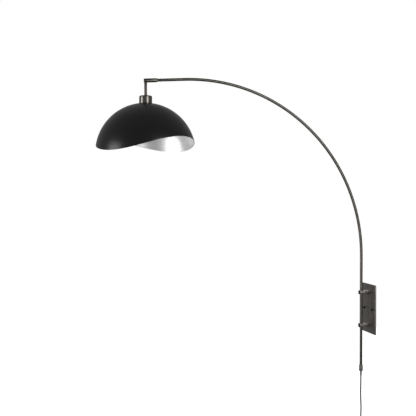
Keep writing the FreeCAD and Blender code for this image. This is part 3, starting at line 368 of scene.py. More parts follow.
# ------------------------------------------------------------------ modelling

def start_clean():
    """Object mode with nothing selected."""
    if bpy.context.object and bpy.context.object.mode != "OBJECT":
        bpy.ops.object.mode_set(mode="OBJECT")
    bpy.ops.object.select_all(action="DESELECT")


def pick(piece):
    """Select one piece alone and make it active."""
    start_clean()
    piece.select_set(True)
    bpy.context.view_layer.objects.active = piece


def linked(name, data):
    piece = bpy.data.objects.new(name, data)
    bpy.context.scene.collection.objects.link(piece)
    return piece


def edit_mode(wanted=True):
    bpy.ops.object.mode_set(mode="EDIT" if wanted else "OBJECT")


def take_all():
    """Select the whole mesh in edit mode."""
    bpy.ops.mesh.select_all(action="SELECT")


def extrude(by):
    bpy.ops.mesh.extrude_region_move(TRANSFORM_OT_translate={"value": by})


def named(name):
    piece = bpy.context.object
    piece.name = piece.data.name = name
    return piece


def settle(piece):
    """Leave the piece at the origin with its place in its mesh."""
    pick(piece)
    bpy.ops.object.transform_apply(location=True, rotation=True, scale=True)
    return piece


def one_vertex(name, at):
    start_clean()
    bpy.ops.mesh.primitive_plane_add(size=0.01)
    piece = named(name)
    edit_mode()
    bpy.ops.mesh.select_mode(type="VERT")
    take_all()
    bpy.ops.mesh.merge(type="CENTER")
    bpy.ops.transform.translate(value=at)
    return piece


def frame_for(direction):
    """The direction and one square to it, in which a section is drawn."""
    along = Vector(direction).normalized()
    side = ACROSS if abs(along.x) < 0.9 else UP
    side = (side - along * side.dot(along)).normalized()
    return along, side


def traced(name, spots, closed):
    """An edge chain through the spots, left in edit mode with all of it selected."""
    if closed:
        spots = spots + spots[:1]
    piece = one_vertex(name, spots[0])
    for before, after in zip(spots, spots[1:]):
        extrude(after - before)
    take_all()
    bpy.ops.mesh.remove_doubles(threshold=MERGE_GAP)
    take_all()
    return piece


def drawn_section(name, corners, base, direction, closed):
    """An edge chain through (distance from the axis, height) corners."""
    along, side = frame_for(direction)
    spots = [Vector(base) + side * r + along * h for r, h in corners]
    return traced(name, spots, closed), along


def close_up():
    """Merge the mesh in edit mode, face it outward and leave edit mode."""
    take_all()
    bpy.ops.mesh.remove_doubles(threshold=MERGE_GAP)
    bpy.ops.mesh.normals_make_consistent(inside=False)
    edit_mode(False)


def turned(name, corners, base=ORIGIN, direction=UP, steps=96, closed=True, edge=None):
    """A turned piece: a section spun once round its axis, with softened edges."""
    piece, along = drawn_section(name, corners, base, direction, closed)
    bpy.ops.mesh.spin(steps=steps, angle=2.0 * math.pi, center=base, axis=along)
    close_up()
    if edge != NO_EDGE:
        soften(piece, sizes().edge if edge is None else edge)
    return piece


def apply_modifier(piece, kind, **values):
    modifier = piece.modifiers.new(kind.lower(), kind)
    for name, value in values.items():
        setattr(modifier, name, value)
    pick(piece)
    bpy.ops.object.modifier_apply(modifier=modifier.name)
    return piece


def soften(piece, edge, smooth=35.0, sharpest=38.0):
    """Round the edges sharper than one angle and shade those flatter than the other."""
    if edge > 0.0:
        apply_modifier(piece, "BEVEL", width=edge, segments=2, limit_method="ANGLE",
                       angle_limit=math.radians(sharpest))
    pick(piece)
    bpy.ops.object.shade_smooth_by_angle(angle=math.radians(smooth))


def cut_away(piece, *cutters, operation="DIFFERENCE"):
    """Take the cutters out of the piece, or join them to it, and delete them."""
    for cutter in cutters:
        apply_modifier(piece, "BOOLEAN", operation=operation, object=cutter, solver="EXACT")
        bpy.data.objects.remove(cutter)
    return piece


def join_to(piece, other):
    return cut_away(piece, other, operation="UNION")


def rod(name, radius, start, end, sides=64):
    """A plain round bar between two points, made for cutting holes."""
    start_clean()
    gap = Vector(end) - Vector(start)
    bpy.ops.mesh.primitive_cylinder_add(
        vertices=sides, radius=radius, depth=gap.length, location=(Vector(start) + Vector(end)) / 2.0,
        rotation=gap.to_track_quat("Z", "Y").to_euler())
    return settle(named(name))


def block(name, size, middle):
    start_clean()
    bpy.ops.mesh.primitive_cube_add(size=1.0, location=middle, scale=size)
    return settle(named(name))


def block_between(name, low, high):
    return block(name, high - low, (low + high) / 2.0)


def bevel_where(piece, wanted, width, segments):
    """Round the edges for which wanted(first corner, second corner) is true."""
    pick(piece)
    edit_mode()
    bpy.ops.mesh.select_mode(type="EDGE")
    bpy.ops.mesh.select_all(action="DESELECT")
    edit_mode(False)
    mesh = piece.data
    for edge in mesh.edges:
        a, b = (mesh.vertices[i].co for i in edge.vertices)
        edge.select = bool(wanted(a, b))
    edit_mode()
    bpy.ops.mesh.bevel(offset=width, segments=segments, affect="EDGES")
    edit_mode(False)
    return piece


def dress(piece, material, body, slot, *nodes):
    """Give a piece its finish, its body and the nodes that it stands for."""
    materials = material if isinstance(material, (list, tuple)) else [material]
    piece.data.materials.clear()
    for entry in materials:
        piece.data.materials.append(entry)
    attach(piece, body)
    if nodes:
        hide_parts(*nodes)
    return piece


def domed(radius, height, straight, steps):
    """Section of a round head: a short straight wall under a ball-shaped top."""
    rise = height - straight
    ball = (radius * radius + rise * rise) / (2.0 * rise)
    section = [(radius, 0.0), (radius, straight)]
    for k in range(1, steps + 1):
        h = straight + rise * math.sin(math.pi / 2.0 * k / steps)
        section.append((math.sqrt(max(0.0, ball ** 2 - (h - height + ball) ** 2)), h))
    return section


# ------------------------------------------------------------------ wall side

def make_wall_plate():
    """Flat plate with room behind it for the strap and the posts' screws."""
    low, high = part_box("wall_plate")
    corner, front_edge, play, beyond = 0.005, 0.0015, 0.0003, 0.002
    head_way, head_depth, hole, hole_depth = 0.0058, 0.0035, 0.0033, 0.01
    plate = block_between("plate_front", low, high)
    bevel_where(plate, lambda a, b: abs(a.y - b.y) > (high.y - low.y) / 2.0, corner, 8)
    bevel_where(plate, lambda a, b: max(a.y, b.y) < low.y + FACE_GAP, front_edge, 4)
    strap_low, strap_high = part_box("mounting_strap")
    cutters = [block_between("pocket", strap_low - Vector((play, play, play)),
                             strap_high + Vector((play, beyond - play, play)))]
    for node in ("upper_post", "lower_post"):
        z = centre_of(node).z
        for name, radius, depth in (("screw_way", head_way, head_depth),
                                    ("screw_hole", hole, hole_depth)):
            cutters.append(rod(name, radius, Vector((0.0, beyond, z)), Vector((0.0, -depth, z))))
    cut_away(plate, *cutters)
    soften(plate, 0.0)
    return dress(plate, plate_bronze(), "wall", "plate_bronze", "wall_plate")


def make_cap_nuts():
    low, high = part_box("cap_nuts")
    radius, height = (high.z - low.z) / 2.0, high.y - low.y
    stud, roof = 0.0026, 0.002
    profile = [(stud, 0.0), *domed(radius, height, height / 2.5, 8),
               (0.0, height - roof), (stud, height - roof)]
    for side, x in (("left", low.x + radius), ("right", high.x - radius)):
        nut = turned("cap_nut_" + side, profile, (x, high.y, 0.0), TO_ROOM, 48, edge=0.0002)
        dress(nut, black_metal(), "wall", "black_metal")
        if side == "left":
            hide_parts("cap_nuts")


def make_post(which):
    node = which + "_post"
    low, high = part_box(node)
    z = (low.z + high.z) / 2.0
    radius, length = (high.z - low.z) / 2.0, high.y - low.y
    lip, stud, stud_depth = 0.0006, 0.0026, 0.004
    post = turned("post_" + which, [
        (0.0, 0.0), (radius, 0.0), (radius, length - lip), (radius - lip, length),
        (stud, length), (stud, length - stud_depth), (0.0, length - stud_depth)],
        (0.0, high.y, z), TO_ROOM, edge=0.0002)
    middle, reach = Vector((0.0, POLE_Y, z)), UP * 0.02
    bore = width_of(which + "_bush") / 2.0 + FIT
    cut_away(post, rod("cross", bore, middle - reach, middle + reach, 96))
    soften(post, 0.0)
    dress(post, post_bronze(), "wall", "arm_bronze", node)


def make_bush(which):
    node = which + "_bush"
    low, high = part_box(node)
    z, height = (low.z + high.z) / 2.0, high.z - low.z
    outer, inner, slit = width_of(node) / 2.0, sizes().tube_dia / 2.0 + FIT, 0.001
    bush = turned("bush_" + which, [(inner, 0.0), (outer, 0.0), (outer, height), (inner, height)],
                  (0.0, POLE_Y, low.z), edge=0.00015)
    cut_away(bush, block("slit", (slit, outer, height * 2.0), (0.0, POLE_Y + outer, z)))
    soften(bush, 0.0)
    dress(bush, pale_plastic(), "bushes", "nylon", node)


def make_knob(which):
    node = which + "_clamp_knob"
    low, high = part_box(node)
    z, radius = (low.z + high.z) / 2.0, (high.z - low.z) / 2.0
    stud, height = 0.0025, 0.0042
    back = low.y + height
    profile = [(0.0, back - high.y), (stud, back - high.y), (stud, 0.0),
               *domed(radius, height, height / 5.0, 12)]
    knob = turned("knob_" + which, profile, (0.0, back, z), TO_ROOM, 72, edge=0.0003)
    dress(knob, black_metal(), which + "_knob", "black_metal", node)


# ------------------------------------------------------------------ arm

def bend_centre():
    return Vector((0.0, POLE_Y - sizes().bend_radius, POLE_HIGH))


def arm_direction(angle):
    """Where the arm heads after turning by the angle."""
    return Vector((0.0, -math.sin(angle), math.cos(angle)))


def arm_point(angle):
    middle = bend_centre()
    return middle + Vector((0.0, math.cos(angle), math.sin(angle))) * sizes().bend_radius


def arm_end(distance):
    angle = sizes().bend_angle
    return arm_point(angle) + arm_direction(angle) * distance


def tube_skin(name, start, direction, radius, sides=48):
    """The first ring of a tube, left selected in edit mode."""
    start_clean()
    turn = Vector(direction).to_track_quat("Z", "Y").to_euler()
    bpy.ops.mesh.primitive_circle_add(vertices=sides, radius=radius, location=start, rotation=turn)
    piece = settle(named(name))
    edit_mode()
    take_all()
    return piece


def close_skin(piece, wall):
    """Give the tube's skin its wall, inward."""
    close_up()
    apply_modifier(piece, "SOLIDIFY", thickness=wall, offset=-1.0)
    soften(piece, 0.0, 40.0)
    return piece


def bend_skin(angle, steps):
    """Carry the selected ring round the arm's bend, through a part of its angle."""
    bpy.ops.mesh.spin(steps=steps, angle=angle, center=bend_centre(), axis=-ACROSS)


def make_arm():
    """The straight pole and the two halves of the bend, each a tube of its own."""
    s = sizes()
    radius, half, rings = s.tube_dia / 2.0, s.bend_angle / 2.0, 72
    pole = tube_skin("arm_pole", (0.0, POLE_Y, POLE_LOW), UP, radius)
    extrude(UP * (POLE_HIGH - POLE_LOW))
    dress(close_skin(pole, s.tube_wall), pole_bronze(), "arm", "arm_bronze", "pole_tube")
    lower = tube_skin("arm_bend_lower", (0.0, POLE_Y, POLE_HIGH), UP, radius)
    bend_skin(half, rings)
    dress(close_skin(lower, s.tube_wall), arm_bronze(), "arm", "arm_bronze", "arc_lower")
    upper = tube_skin("arm_bend_upper", arm_point(half), arm_direction(half), radius)
    bend_skin(half, rings)
    extrude(arm_direction(s.bend_angle) * (s.end_run + s.plug_depth))
    dress(close_skin(upper, s.tube_wall), arm_bronze(), "arm", "arm_bronze", "arc_upper")


def make_set_screws():
    """Socket set screws in the arm's joints, its sleeve and its collar."""
    s = sizes()
    screw_radius, key_radius, key_depth, proud = 0.0015, 0.0009, 0.0006, 0.0001
    from_joint = 0.011
    angle = s.bend_angle / 2.0 - from_joint / s.bend_radius
    outward = Vector((0.0, math.cos(angle), math.sin(angle)))
    tube = s.tube_dia / 2.0
    through_wall, on_tube = tube - s.tube_wall, tube + proud
    low_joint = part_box("coupler_screws")[0].z + screw_radius
    sleeve, collar = centre_of("sleeve_screw"), centre_of("collar_screw")
    places = [
        ("joint_screw_low", (0.0, POLE_Y, low_joint), -TO_ROOM, through_wall, tube,
         "coupler_screws"),
        ("joint_screw_high", arm_point(angle), outward, through_wall, tube, None),
        ("sleeve_set_screw", (0.0, sleeve.y, sleeve.z), -ACROSS, on_tube,
         -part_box("sleeve_screw")[0].x, "sleeve_screw"),
        ("collar_set_screw", (0.0, POLE_Y, collar.z), -ACROSS, on_tube,
         -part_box("collar_screw")[0].x, "collar_screw")]
    for name, axis_point, way, inner, reach, node in places:
        base = Vector(axis_point) + way * inner
        height = reach - inner + proud
        screw = turned(name, [(0.0, 0.0), (screw_radius, 0.0), (screw_radius, height), (0.0, height)],
                       base, way, 32, edge=0.00015)
        cut_away(screw, rod("socket", key_radius, base + way * (height - key_depth),
                            base + way * (height + 0.002), 6))
        dress(screw, black_metal(), "arm", "black_metal")
        if node:
            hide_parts(node)


def make_elbow():
    s = sizes()
    bore, outer = s.tube_dia / 2.0 + FIT, s.sleeve_dia / 2.0
    tip, taper = s.tube_dia / 2.0 + 0.0005, 0.005
    length, lead_way = s.sleeve_length, 0.004
    lead_end = length - 0.0045
    sleeve = turned("elbow_sleeve_skin", [
        (bore, 0.0), (tip, 0.0), (outer, taper), (outer, length), (0.0, length), (0.0, lead_end),
        (lead_way, lead_end), (lead_way, s.plug_depth), (bore, s.plug_depth)],
        arm_end(s.end_run), arm_direction(s.bend_angle))
    seat = Vector((0.0, STEM_Y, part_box("stem")[1].z))
    cut_away(sleeve, rod("seat", width_of("stem") / 2.0 + FIT, seat - UP * 0.03, seat, 96))
    soften(sleeve, 0.0)
    dress(sleeve, arm_bronze("bronze_sleeve", None, (BRUSHED, 14.0, BRUSHED), 1.5), "arm",
          "arm_bronze", "elbow_sleeve")


def make_stem():
    low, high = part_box("stem")
    outer, bore = width_of("stem") / 2.0, 0.0037
    length, foot = high.z - CUP_HIGH, low.z - CUP_HIGH
    profile = [(bore, foot), (NIPPLE, foot), (NIPPLE, 0.0), (outer, 0.0), (outer, length),
               (bore, length)]
    stem = turned("stem_tube", profile, (0.0, STEM_Y, CUP_HIGH), UP, 72, edge=0.0003)
    dress(stem, arm_bronze("bronze_stem", None, (BRUSHED, BRUSHED, 14.0)), "arm", "arm_bronze",
          "stem")


def make_cup():
    """Spun cup, open below, with a rounded shoulder."""
    outer, wall, shoulder, steps = width_of("cup") / 2.0, 0.0015, 0.0055, 8
    height, hole = CUP_HIGH - CUP_LOW, NIPPLE + FIT

    def corner(radius):
        return [(outer - shoulder + radius * math.cos(math.pi / 2.0 * k / steps),
                 height - shoulder + radius * math.sin(math.pi / 2.0 * k / steps))
                for k in range(steps + 1)]

    profile = [(outer - wall, 0.0), (outer, 0.0), *corner(shoulder), (hole, height),
               (hole, height - wall), *reversed(corner(shoulder - wall))]
    cup = turned("cup_skin", profile, (0.0, STEM_Y, CUP_LOW), UP, 128, edge=0.0002)
    bronze = arm_bronze("bronze_cup", None, (300.0, 300.0, 12.0), 1.75, (0.2, 0.26))
    dress(cup, bronze, "arm", "cup_bronze", "cup")


# ------------------------------------------------------------------ lampholder and shade

def make_lampholder():
    flange, boss, cavity = width_of("lampholder_body") / 2.0, 0.010, 0.0155
    nipple_hole, lead_hole = NIPPLE + FIT, 0.003
    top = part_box("lampholder_body")[1].z - NECK_LOW
    shoulder = top - 0.007
    flange_top = shoulder - 0.009
    flange_low = flange_top - 0.0036
    seat, roof = top - 0.008, top - 0.0116
    holder = turned("lampholder_skin", [
        (cavity, 0.0), (NECK, 0.0), (NECK, flange_low), (flange, flange_low), (flange, flange_top),
        (NECK, flange_top), (NECK, shoulder), (boss, shoulder), (boss, top), (nipple_hole, top),
        (nipple_hole, seat), (lead_hole, seat), (lead_hole, roof), (cavity, roof)],
        (0.0, STEM_Y, NECK_LOW))
    dress(holder, moulded(), "arm", "black_moulding", "lampholder_body")


def make_lamp_shell():
    """Rolled brass thread inside the holder."""
    low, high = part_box("screw_shell")
    outer, height = width_of("screw_shell") / 2.0, high.z - low.z
    turns, sides, swell = 6, 8, 0.0002
    section = [(outer, 0.0), (outer, height)]
    for k in range(turns * sides + 1):
        inner = CAP_BORE + swell - swell * math.cos(2.0 * math.pi * k / sides)
        section.append((inner, height * (1.0 - k / (turns * sides))))
    shell = turned("lamp_thread", section, (0.0, STEM_Y, low.z), UP, 72, edge=0.0)
    dress(shell, brass(), "arm", "brass", "screw_shell")


def make_shade_ring():
    """Ring on the holder's neck, with finger notches round it."""
    low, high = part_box("shade_ring")
    outer, height = (high.x - low.x) / 2.0, high.z - low.z
    bore, count, notch_radius, beyond = NECK + FIT, 24, 0.0009, 0.002
    ring = turned("shade_ring_skin", [
        (bore, 0.0), (outer, 0.0), (outer, height), (bore, height)],
        (0.0, STEM_Y, low.z), edge=0.0005)
    notches = []
    for k in range(count):
        angle = 2.0 * math.pi * k / count
        spot = Vector((outer * math.cos(angle), STEM_Y + outer * math.sin(angle), low.z))
        notches.append(rod("notch", notch_radius, spot - UP * beyond,
                           spot + UP * (height + beyond), 10))
    start_clean()
    for notch in notches:
        notch.select_set(True)
    bpy.context.view_layer.objects.active = notches[0]
    bpy.ops.object.join()
    cut_away(ring, notches[0])
    soften(ring, 0.0)
    dress(ring, moulded(), "arm", "black_moulding", "shade_ring")


def rim_angle(around):
    """Angle from the shade's top to its rim, at one place round it.

    The rim's height depends on how far out it is, so the estimate is repeated.
    """
    s = sizes()
    radius, level = s.dome_radius, s.rim_level
    span = radius ** 2 - level ** 2
    angle = math.pi / 2.0
    for _ in range(30):
        reach = radius * math.sin(angle) / math.sqrt(span)
        swing = s.rim_wave * reach ** 2 * math.cos(2.0 * (around - s.rim_turn))
        angle = math.acos((level + swing + s.rim_tilt * reach * math.sin(around)) / radius)
    return angle


def make_shade():
    """A ball's upper half with a flat top, drawn out to the rim and given its sheet."""
    s = sizes()
    radius = s.dome_radius
    top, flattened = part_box("shade")[1].z, 0.002
    middle = Vector((0.0, STEM_Y, top + flattened - radius))
    first = math.acos((top - middle.z) / radius)
    rings, sectors = 56, 240
    corners = [(NECK + FIT, top - middle.z)]
    for k in range(rings + 1):
        angle = first + (math.pi / 2.0 - first) * k / rings
        corners.append((radius * math.sin(angle), radius * math.cos(angle)))
    shade = turned("shade_dome", corners, middle, UP, sectors, closed=False, edge=NO_EDGE)
    for vertex in shade.data.vertices:
        offset = vertex.co - middle
        tilt = math.acos(max(-1.0, min(1.0, offset.z / radius)))
        if tilt < first - 1e-4 or offset.xy.length < radius * math.sin(first) - 1e-5:
            continue
        around = math.atan2(offset.y, offset.x)
        share = (tilt - first) / (math.pi / 2.0 - first)
        tilt = first + share * (rim_angle(around) - first)
        flat = radius * math.sin(tilt)
        vertex.co = middle + Vector((flat * math.cos(around), flat * math.sin(around),
                                     radius * math.cos(tilt)))
    for _ in ("outside", "inside", "rim"):
        shade.data.materials.append(None)
    apply_modifier(shade, "SOLIDIFY", thickness=s.dome_wall, offset=-1.0, use_even_offset=True,
                   material_offset=1, material_offset_rim=2)
    soften(shade, s.edge, 40.0, 60.0)
    dress_shade(shade)


def dress_shade(shade):
    """Black outside and on the rim, silver inside."""
    slots = [polygon.material_index for polygon in shade.data.polygons]
    dress(shade, [shade_paint(), silver_leaf(), shade_paint()], "shade", "shade_black", "shade")
    for polygon, index in zip(shade.data.polygons, slots):
        polygon.material_index = index


# ------------------------------------------------------------------ cord side

def make_collar():
    tube, outer = sizes().tube_dia / 2.0, width_of("bottom_collar") / 2.0
    tip, bore, hole = tube + 0.0005, tube + FIT, 0.00445
    height, taper, floor = COLLAR_HIGH - COLLAR_LOW, 0.003, 0.003
    collar = turned("collar_skin", [
        (hole, 0.0), (outer, 0.0), (outer, height - taper), (tip, height), (bore, height),
        (bore, floor), (hole, floor)], (0.0, POLE_Y, COLLAR_LOW))
    dress(collar, collar_grey(), "arm", "collar_metal", "bottom_collar")


def make_relief():
    """Ribbed sleeve that tapers along the cord."""
    tip, shaft, flange = 0.00375, 0.0044, width_of("strain_relief") / 2.0
    ribs, ribbed, groove = 5, 0.86, 0.0004
    rib_end, groove_start, groove_end = 0.0026, 0.0029, 0.0034
    length = COLLAR_LOW - RELIEF_LOW
    flange_low, flange_high = length + 0.003, length + 0.006
    profile = [(CORD_BORE, 0.0)]
    for k in range(ribs):
        start = length * ribbed * k / ribs
        wide = tip + (shaft - tip) * start / length
        profile += [(wide, start), (wide, start + rib_end), (wide - groove, start + groove_start),
                    (wide - groove, start + groove_end)]
    profile += [(shaft, length * 0.88), (shaft, flange_low), (flange, flange_low),
                (flange, flange_high), (CORD_BORE, flange_high)]
    relief = turned("cord_relief", profile, (0.0, POLE_Y, RELIEF_LOW), UP, 48, edge=0.00015)
    return dress(relief, soft_moulded(), "arm", "soft_black", "strain_relief")


def cord_curve(name, points, node):
    """A round cord on one smooth spline through its route's points."""
    data = bpy.data.curves.new(name, "CURVE")
    data.dimensions = "3D"
    data.bevel_depth = sizes().cord_dia / 2.0
    data.bevel_resolution = 5
    data.resolution_u = 10
    data.use_fill_caps = True
    spline = data.splines.new("NURBS")
    spline.points.add(len(points) - 1)
    for control, spot in zip(spline.points, points):
        control.co = (*spot, 1.0)
    spline.order_u = 3
    spline.use_endpoint_u = True
    return dress(linked(name, data), cord_skin(), "arm", "cord_grey", node)


DROP_ROUTE = ((0.0, -0.276), (0.0, -0.3301), (-0.0016, -0.3879), (0.0016, -0.446),
              (0.0002, -0.4841), (0.0, -0.513))


def make_cord_drop():
    return cord_curve("cord_hanging", [(0.0, POLE_Y + y, z) for y, z in DROP_ROUTE], "cord_drop")


HANK = {"loop": 0.025, "half": 0.037, "waist": 0.008, "pitch": 0.0075, "turns": 5,
        "aside": 0.0459, "lead": 0.008, "tail": 0.034}


def hank_arcs():
    """One drawn-in loop as arcs: centre, radius, first and last angle in the Y-Z plane."""
    loop, half, waist = HANK["loop"], HANK["half"], HANK["waist"]
    bulge = (waist ** 2 + half ** 2 - loop ** 2) / (2.0 * (loop - waist))
    side = waist + bulge
    lean = math.atan2(half, side)
    turn = math.pi
    return [((0, half), loop, 0.0, -lean), ((side, 0), bulge, turn - lean, turn + lean),
            ((0, -half), loop, lean, 0.0), ((0, -half), loop, 0.0, -turn - lean),
            ((-side, 0), bulge, -lean, lean), ((0, half), loop, turn + lean, 0.0)]


def length_of(arcs):
    return sum(radius * abs(last - first) for _, radius, first, last in arcs)


def hank_route():
    """Control points of the spare cord: down from the switch, five loops, to the plug."""
    arcs = hank_arcs()
    route = arcs * HANK["turns"] + arcs[:3]
    slope = HANK["pitch"] / length_of(arcs)
    base = Vector((-slope * length_of(route) / 2.0, TIE.y, TIE.z))
    loops, travelled, widest = [], 0.0, math.radians(42.0)
    for centre, radius, first, last in route:
        steps = max(1, math.ceil(abs(last - first) / widest))
        step = (last - first) / steps
        for k in range(steps):
            angle = first + step * (k + 0.5)
            reach = radius / math.cos(step / 2.0)
            run = travelled + radius * abs(step) * (k + 0.5)
            loops.append(base + Vector((slope * run, centre[0] + reach * math.cos(angle),
                                        centre[1] + reach * math.sin(angle))))
        travelled += radius * abs(last - first)
    start = Vector((0.0, POLE_Y, SWITCH_LOW + HANK["lead"]))
    bend = Vector((0.0, POLE_Y, SWITCH_LOW - HANK["lead"]))
    entry = base + Vector((0.0, HANK["loop"], HANK["half"]))
    aside = Vector((entry.x, entry.y, bend.z - HANK["aside"]))
    turn = bend.lerp(aside, 0.5)
    last = loops[-1]
    tail = [Vector((last.x, TIE.y + HANK["loop"], PLUG_HIGH + 0.018)),
            Vector((PLUG.x, PLUG.y, PLUG_HIGH + 0.006)), Vector((PLUG.x, PLUG.y, PLUG_HIGH - 0.008))]
    return [start, bend, Vector((0.0, POLE_Y, turn.z + 0.008)),
            Vector((entry.x, entry.y, turn.z - 0.008)), aside] + loops + tail


def make_cord_hank():
    return cord_curve("cord_spare", hank_route(), "cord_hank")


def make_tie():
    """Strap round the hank's waist: a rounded band with a rounded hole."""
    low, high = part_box("hank_tie")
    wall, rounding, beyond = 0.0013, 0.0045, 0.01
    outer = block("tie_strap", high - low, TIE)
    inner = block("tie_inside", high - low - Vector((wall * 2.0, wall * 2.0, -beyond)), TIE)
    for band, width in ((outer, rounding), (inner, rounding - wall)):
        bevel_where(band, lambda a, b: abs(a.z - b.z) > beyond, width, 8)
    cut_away(outer, inner)
    soften(outer, 0.0003)
    return dress(outer, soft_moulded(), "arm", "soft_black", "hank_tie")


def make_switch_half(name, side, node):
    """One half shell of the in-line switch; side -1 faces the room."""
    low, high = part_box(node)
    side_round, face_round = 0.004, 0.0035
    hollow, slot = (0.023, 0.014, 0.034), (0.0118, 0.012, 0.0186)
    head_radius, head_depth, head_across, head_up = 0.0025, 0.002, 0.0084, 0.02356
    shell = block_between(name, low, high)
    bevel_where(shell, lambda a, b: abs(a.y - b.y) > (high.y - low.y) / 2.0, side_round, 6)
    bevel_where(shell, lambda a, b: min(abs(a.y - POLE_Y), abs(b.y - POLE_Y)) > 0.008,
                face_round, 5)
    cutters = [rod("channel", sizes().cord_dia / 2.0 + FIT, Vector((0, POLE_Y, low.z - 0.01)),
                   Vector((0, POLE_Y, high.z + 0.01)), 48),
               block("hollow", hollow, SWITCH)]
    if side < 0:
        cutters.append(block("slot", slot, SWITCH + TO_ROOM * SWITCH_FACE))
    else:
        for sign in (-1.0, 1.0):
            spot = Vector((head_across * sign, high.y, SWITCH.z + head_up * sign))
            depth = TO_ROOM * head_depth
            cutters.append(rod("head", head_radius, spot - depth, spot + depth, 32))
    cut_away(shell, *cutters)
    soften(shell, 0.0002)
    return dress(shell, glossy_moulded(), "arm", "switch_black", node)


def make_rocker():
    """Two-position rocker on a cross pin, pulled up at both ends and tipped to one side."""
    pin, pin_depth, tipped = 0.0015, 0.0008, 7.0
    half, width, depth, rise, steps = 0.0085, 0.011, 0.004, 0.0022, 12
    pivot = Vector((0.0, POLE_Y - SWITCH_FACE + pin + pin_depth, SWITCH.z))
    start = pivot - ACROSS * (width / 2.0)
    outline = [start + Vector((0.0, depth, -half))]
    for k in range(steps + 1):
        share = 2.0 * k / steps - 1.0
        lift = rise / 2.0 * (1.0 + abs(share) ** 1.5)
        outline.append(start + Vector((0.0, -lift, half * share)))
    outline.append(start + Vector((0.0, depth, half)))
    rocker = traced("rocker_key", outline, True)
    bpy.ops.mesh.edge_face_add()
    extrude(ACROSS * width)
    take_all()
    bpy.ops.mesh.normals_make_consistent(inside=False)
    bpy.ops.transform.rotate(value=-math.radians(tipped), orient_axis="X", center_override=pivot)
    edit_mode(False)
    reach = width_of("switch_rocker") / 2.0
    join_to(rocker, rod("trunnion", pin, pivot - ACROSS * reach, pivot + ACROSS * reach, 32))
    soften(rocker, 0.0003)
    return dress(rocker, glossy_moulded(), "rocker", "switch_black", "switch_rocker")


def make_plug():
    """Moulded plug with a cuff that steps down in two waists to the cord."""
    low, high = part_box("plug_body")
    cuff, sunk, rounding = 0.0113, 0.003, 0.004
    core = block_between("plug_moulding", low, Vector((high.x, high.y, high.z - cuff)))
    bevel_where(core, lambda a, b: True, rounding, 6)
    cuff_low, length, floor = high.z - cuff - sunk, cuff + sunk, 0.004
    root, step, waist, swell, upper_waist, upper_swell, tip = (
        0.0068, 0.0062, 0.0056, 0.0058, 0.0046, 0.0048, 0.0044)
    neck = turned("plug_cuff", [
        (0.0, 0.0), (root, 0.0), (step, floor), (waist, 0.0046), (waist, 0.0058),
        (swell, 0.0064), (0.0052, 0.0092), (upper_waist, 0.0098), (upper_waist, 0.011),
        (upper_swell, 0.0116), (tip, length), (CORD_BORE, length), (CORD_BORE, floor),
        (0.0, floor)], (PLUG.x, PLUG.y, cuff_low), UP, 48, edge=0.0002)
    join_to(core, neck)
    soften(core, 0.0)
    return dress(core, glossy_moulded(), "arm", "switch_black", "plug_body")


def make_blades():
    low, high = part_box("plug_blades")
    thick, tip_round, hole_radius, hole_up = 0.0015, 0.0005, 0.0016, 0.0045
    beyond = ACROSS * 0.003
    made = []
    for side, x in (("left", low.x + thick / 2.0), ("right", high.x - thick / 2.0)):
        blade = block("blade_" + side, (thick, high.y - low.y, high.z - low.z),
                      (x, PLUG.y, (low.z + high.z) / 2.0))
        bevel_where(blade, lambda a, b: max(a.z, b.z) < low.z + FACE_GAP, tip_round, 3)
        hole = Vector((x, PLUG.y, low.z + hole_up))
        cut_away(blade, rod("hole", hole_radius, hole - beyond, hole + beyond, 24))
        soften(blade, 0.0)
        dress(blade, brass(), "arm", "blade_metal")
        made.append(blade)
    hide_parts("plug_blades")
    return made


def make_hidden_finishes():
    """Finishes of the CAD nodes that stay: mostly pieces inside others."""
    tones = {
        "mounting_strap": plated, "strap_studs": plated, "post_screws": plated,
        "pole_coupler": plated, "arc_coupler": plated, "jam_nut": plated,
        "switch_screws": plated, "holder_core": moulded, "centre_contact": brass,
        "switch_contacts": brass, "inner_lead": cord_skin, "lead_cores": pale_plastic,
    }
    for node, tone in tones.items():
        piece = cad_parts[node]
        piece.data.materials.clear()
        piece.data.materials.append(tone())


# ------------------------------------------------------------------ stage

def soft_box(name, place, aim, size, glow, spread=180.0):
    """A soft light that the camera can't see; glow is how bright its face is."""
    data = bpy.data.lights.new(name, "AREA")
    data.spread = math.radians(spread)
    data.shape = "RECTANGLE"
    data.size, data.size_y = size
    data.energy = glow * math.pi * size[0] * size[1]
    lamp = linked(name, data)
    lamp.location = place
    lamp.rotation_euler = (Vector(aim) - Vector(place)).to_track_quat("-Z", "Y").to_euler()
    lamp.visible_camera = False


def make_floor():
    """Pale floor that the lights leave alone, so it can't tint the lamp from below."""
    start_clean()
    width, level = 60.0, -5.5
    bpy.ops.mesh.primitive_plane_add(size=width, location=(0.0, 0.0, level))
    floor = settle(named("floor"))
    tone = bpy.data.materials.new("pale_floor")
    tone.use_nodes = True
    shader = tone.node_tree.nodes["Principled BSDF"]
    shader.inputs["Base Color"].default_value = (0.9, 0.9, 0.9, 1.0)
    shader.inputs["Roughness"].default_value = 0.9
    shader.inputs["Emission Color"].default_value = WHITE
    shader.inputs["Emission Strength"].default_value = 1.0
    floor.data.materials.append(tone)
    floor.visible_diffuse = floor.visible_glossy = False


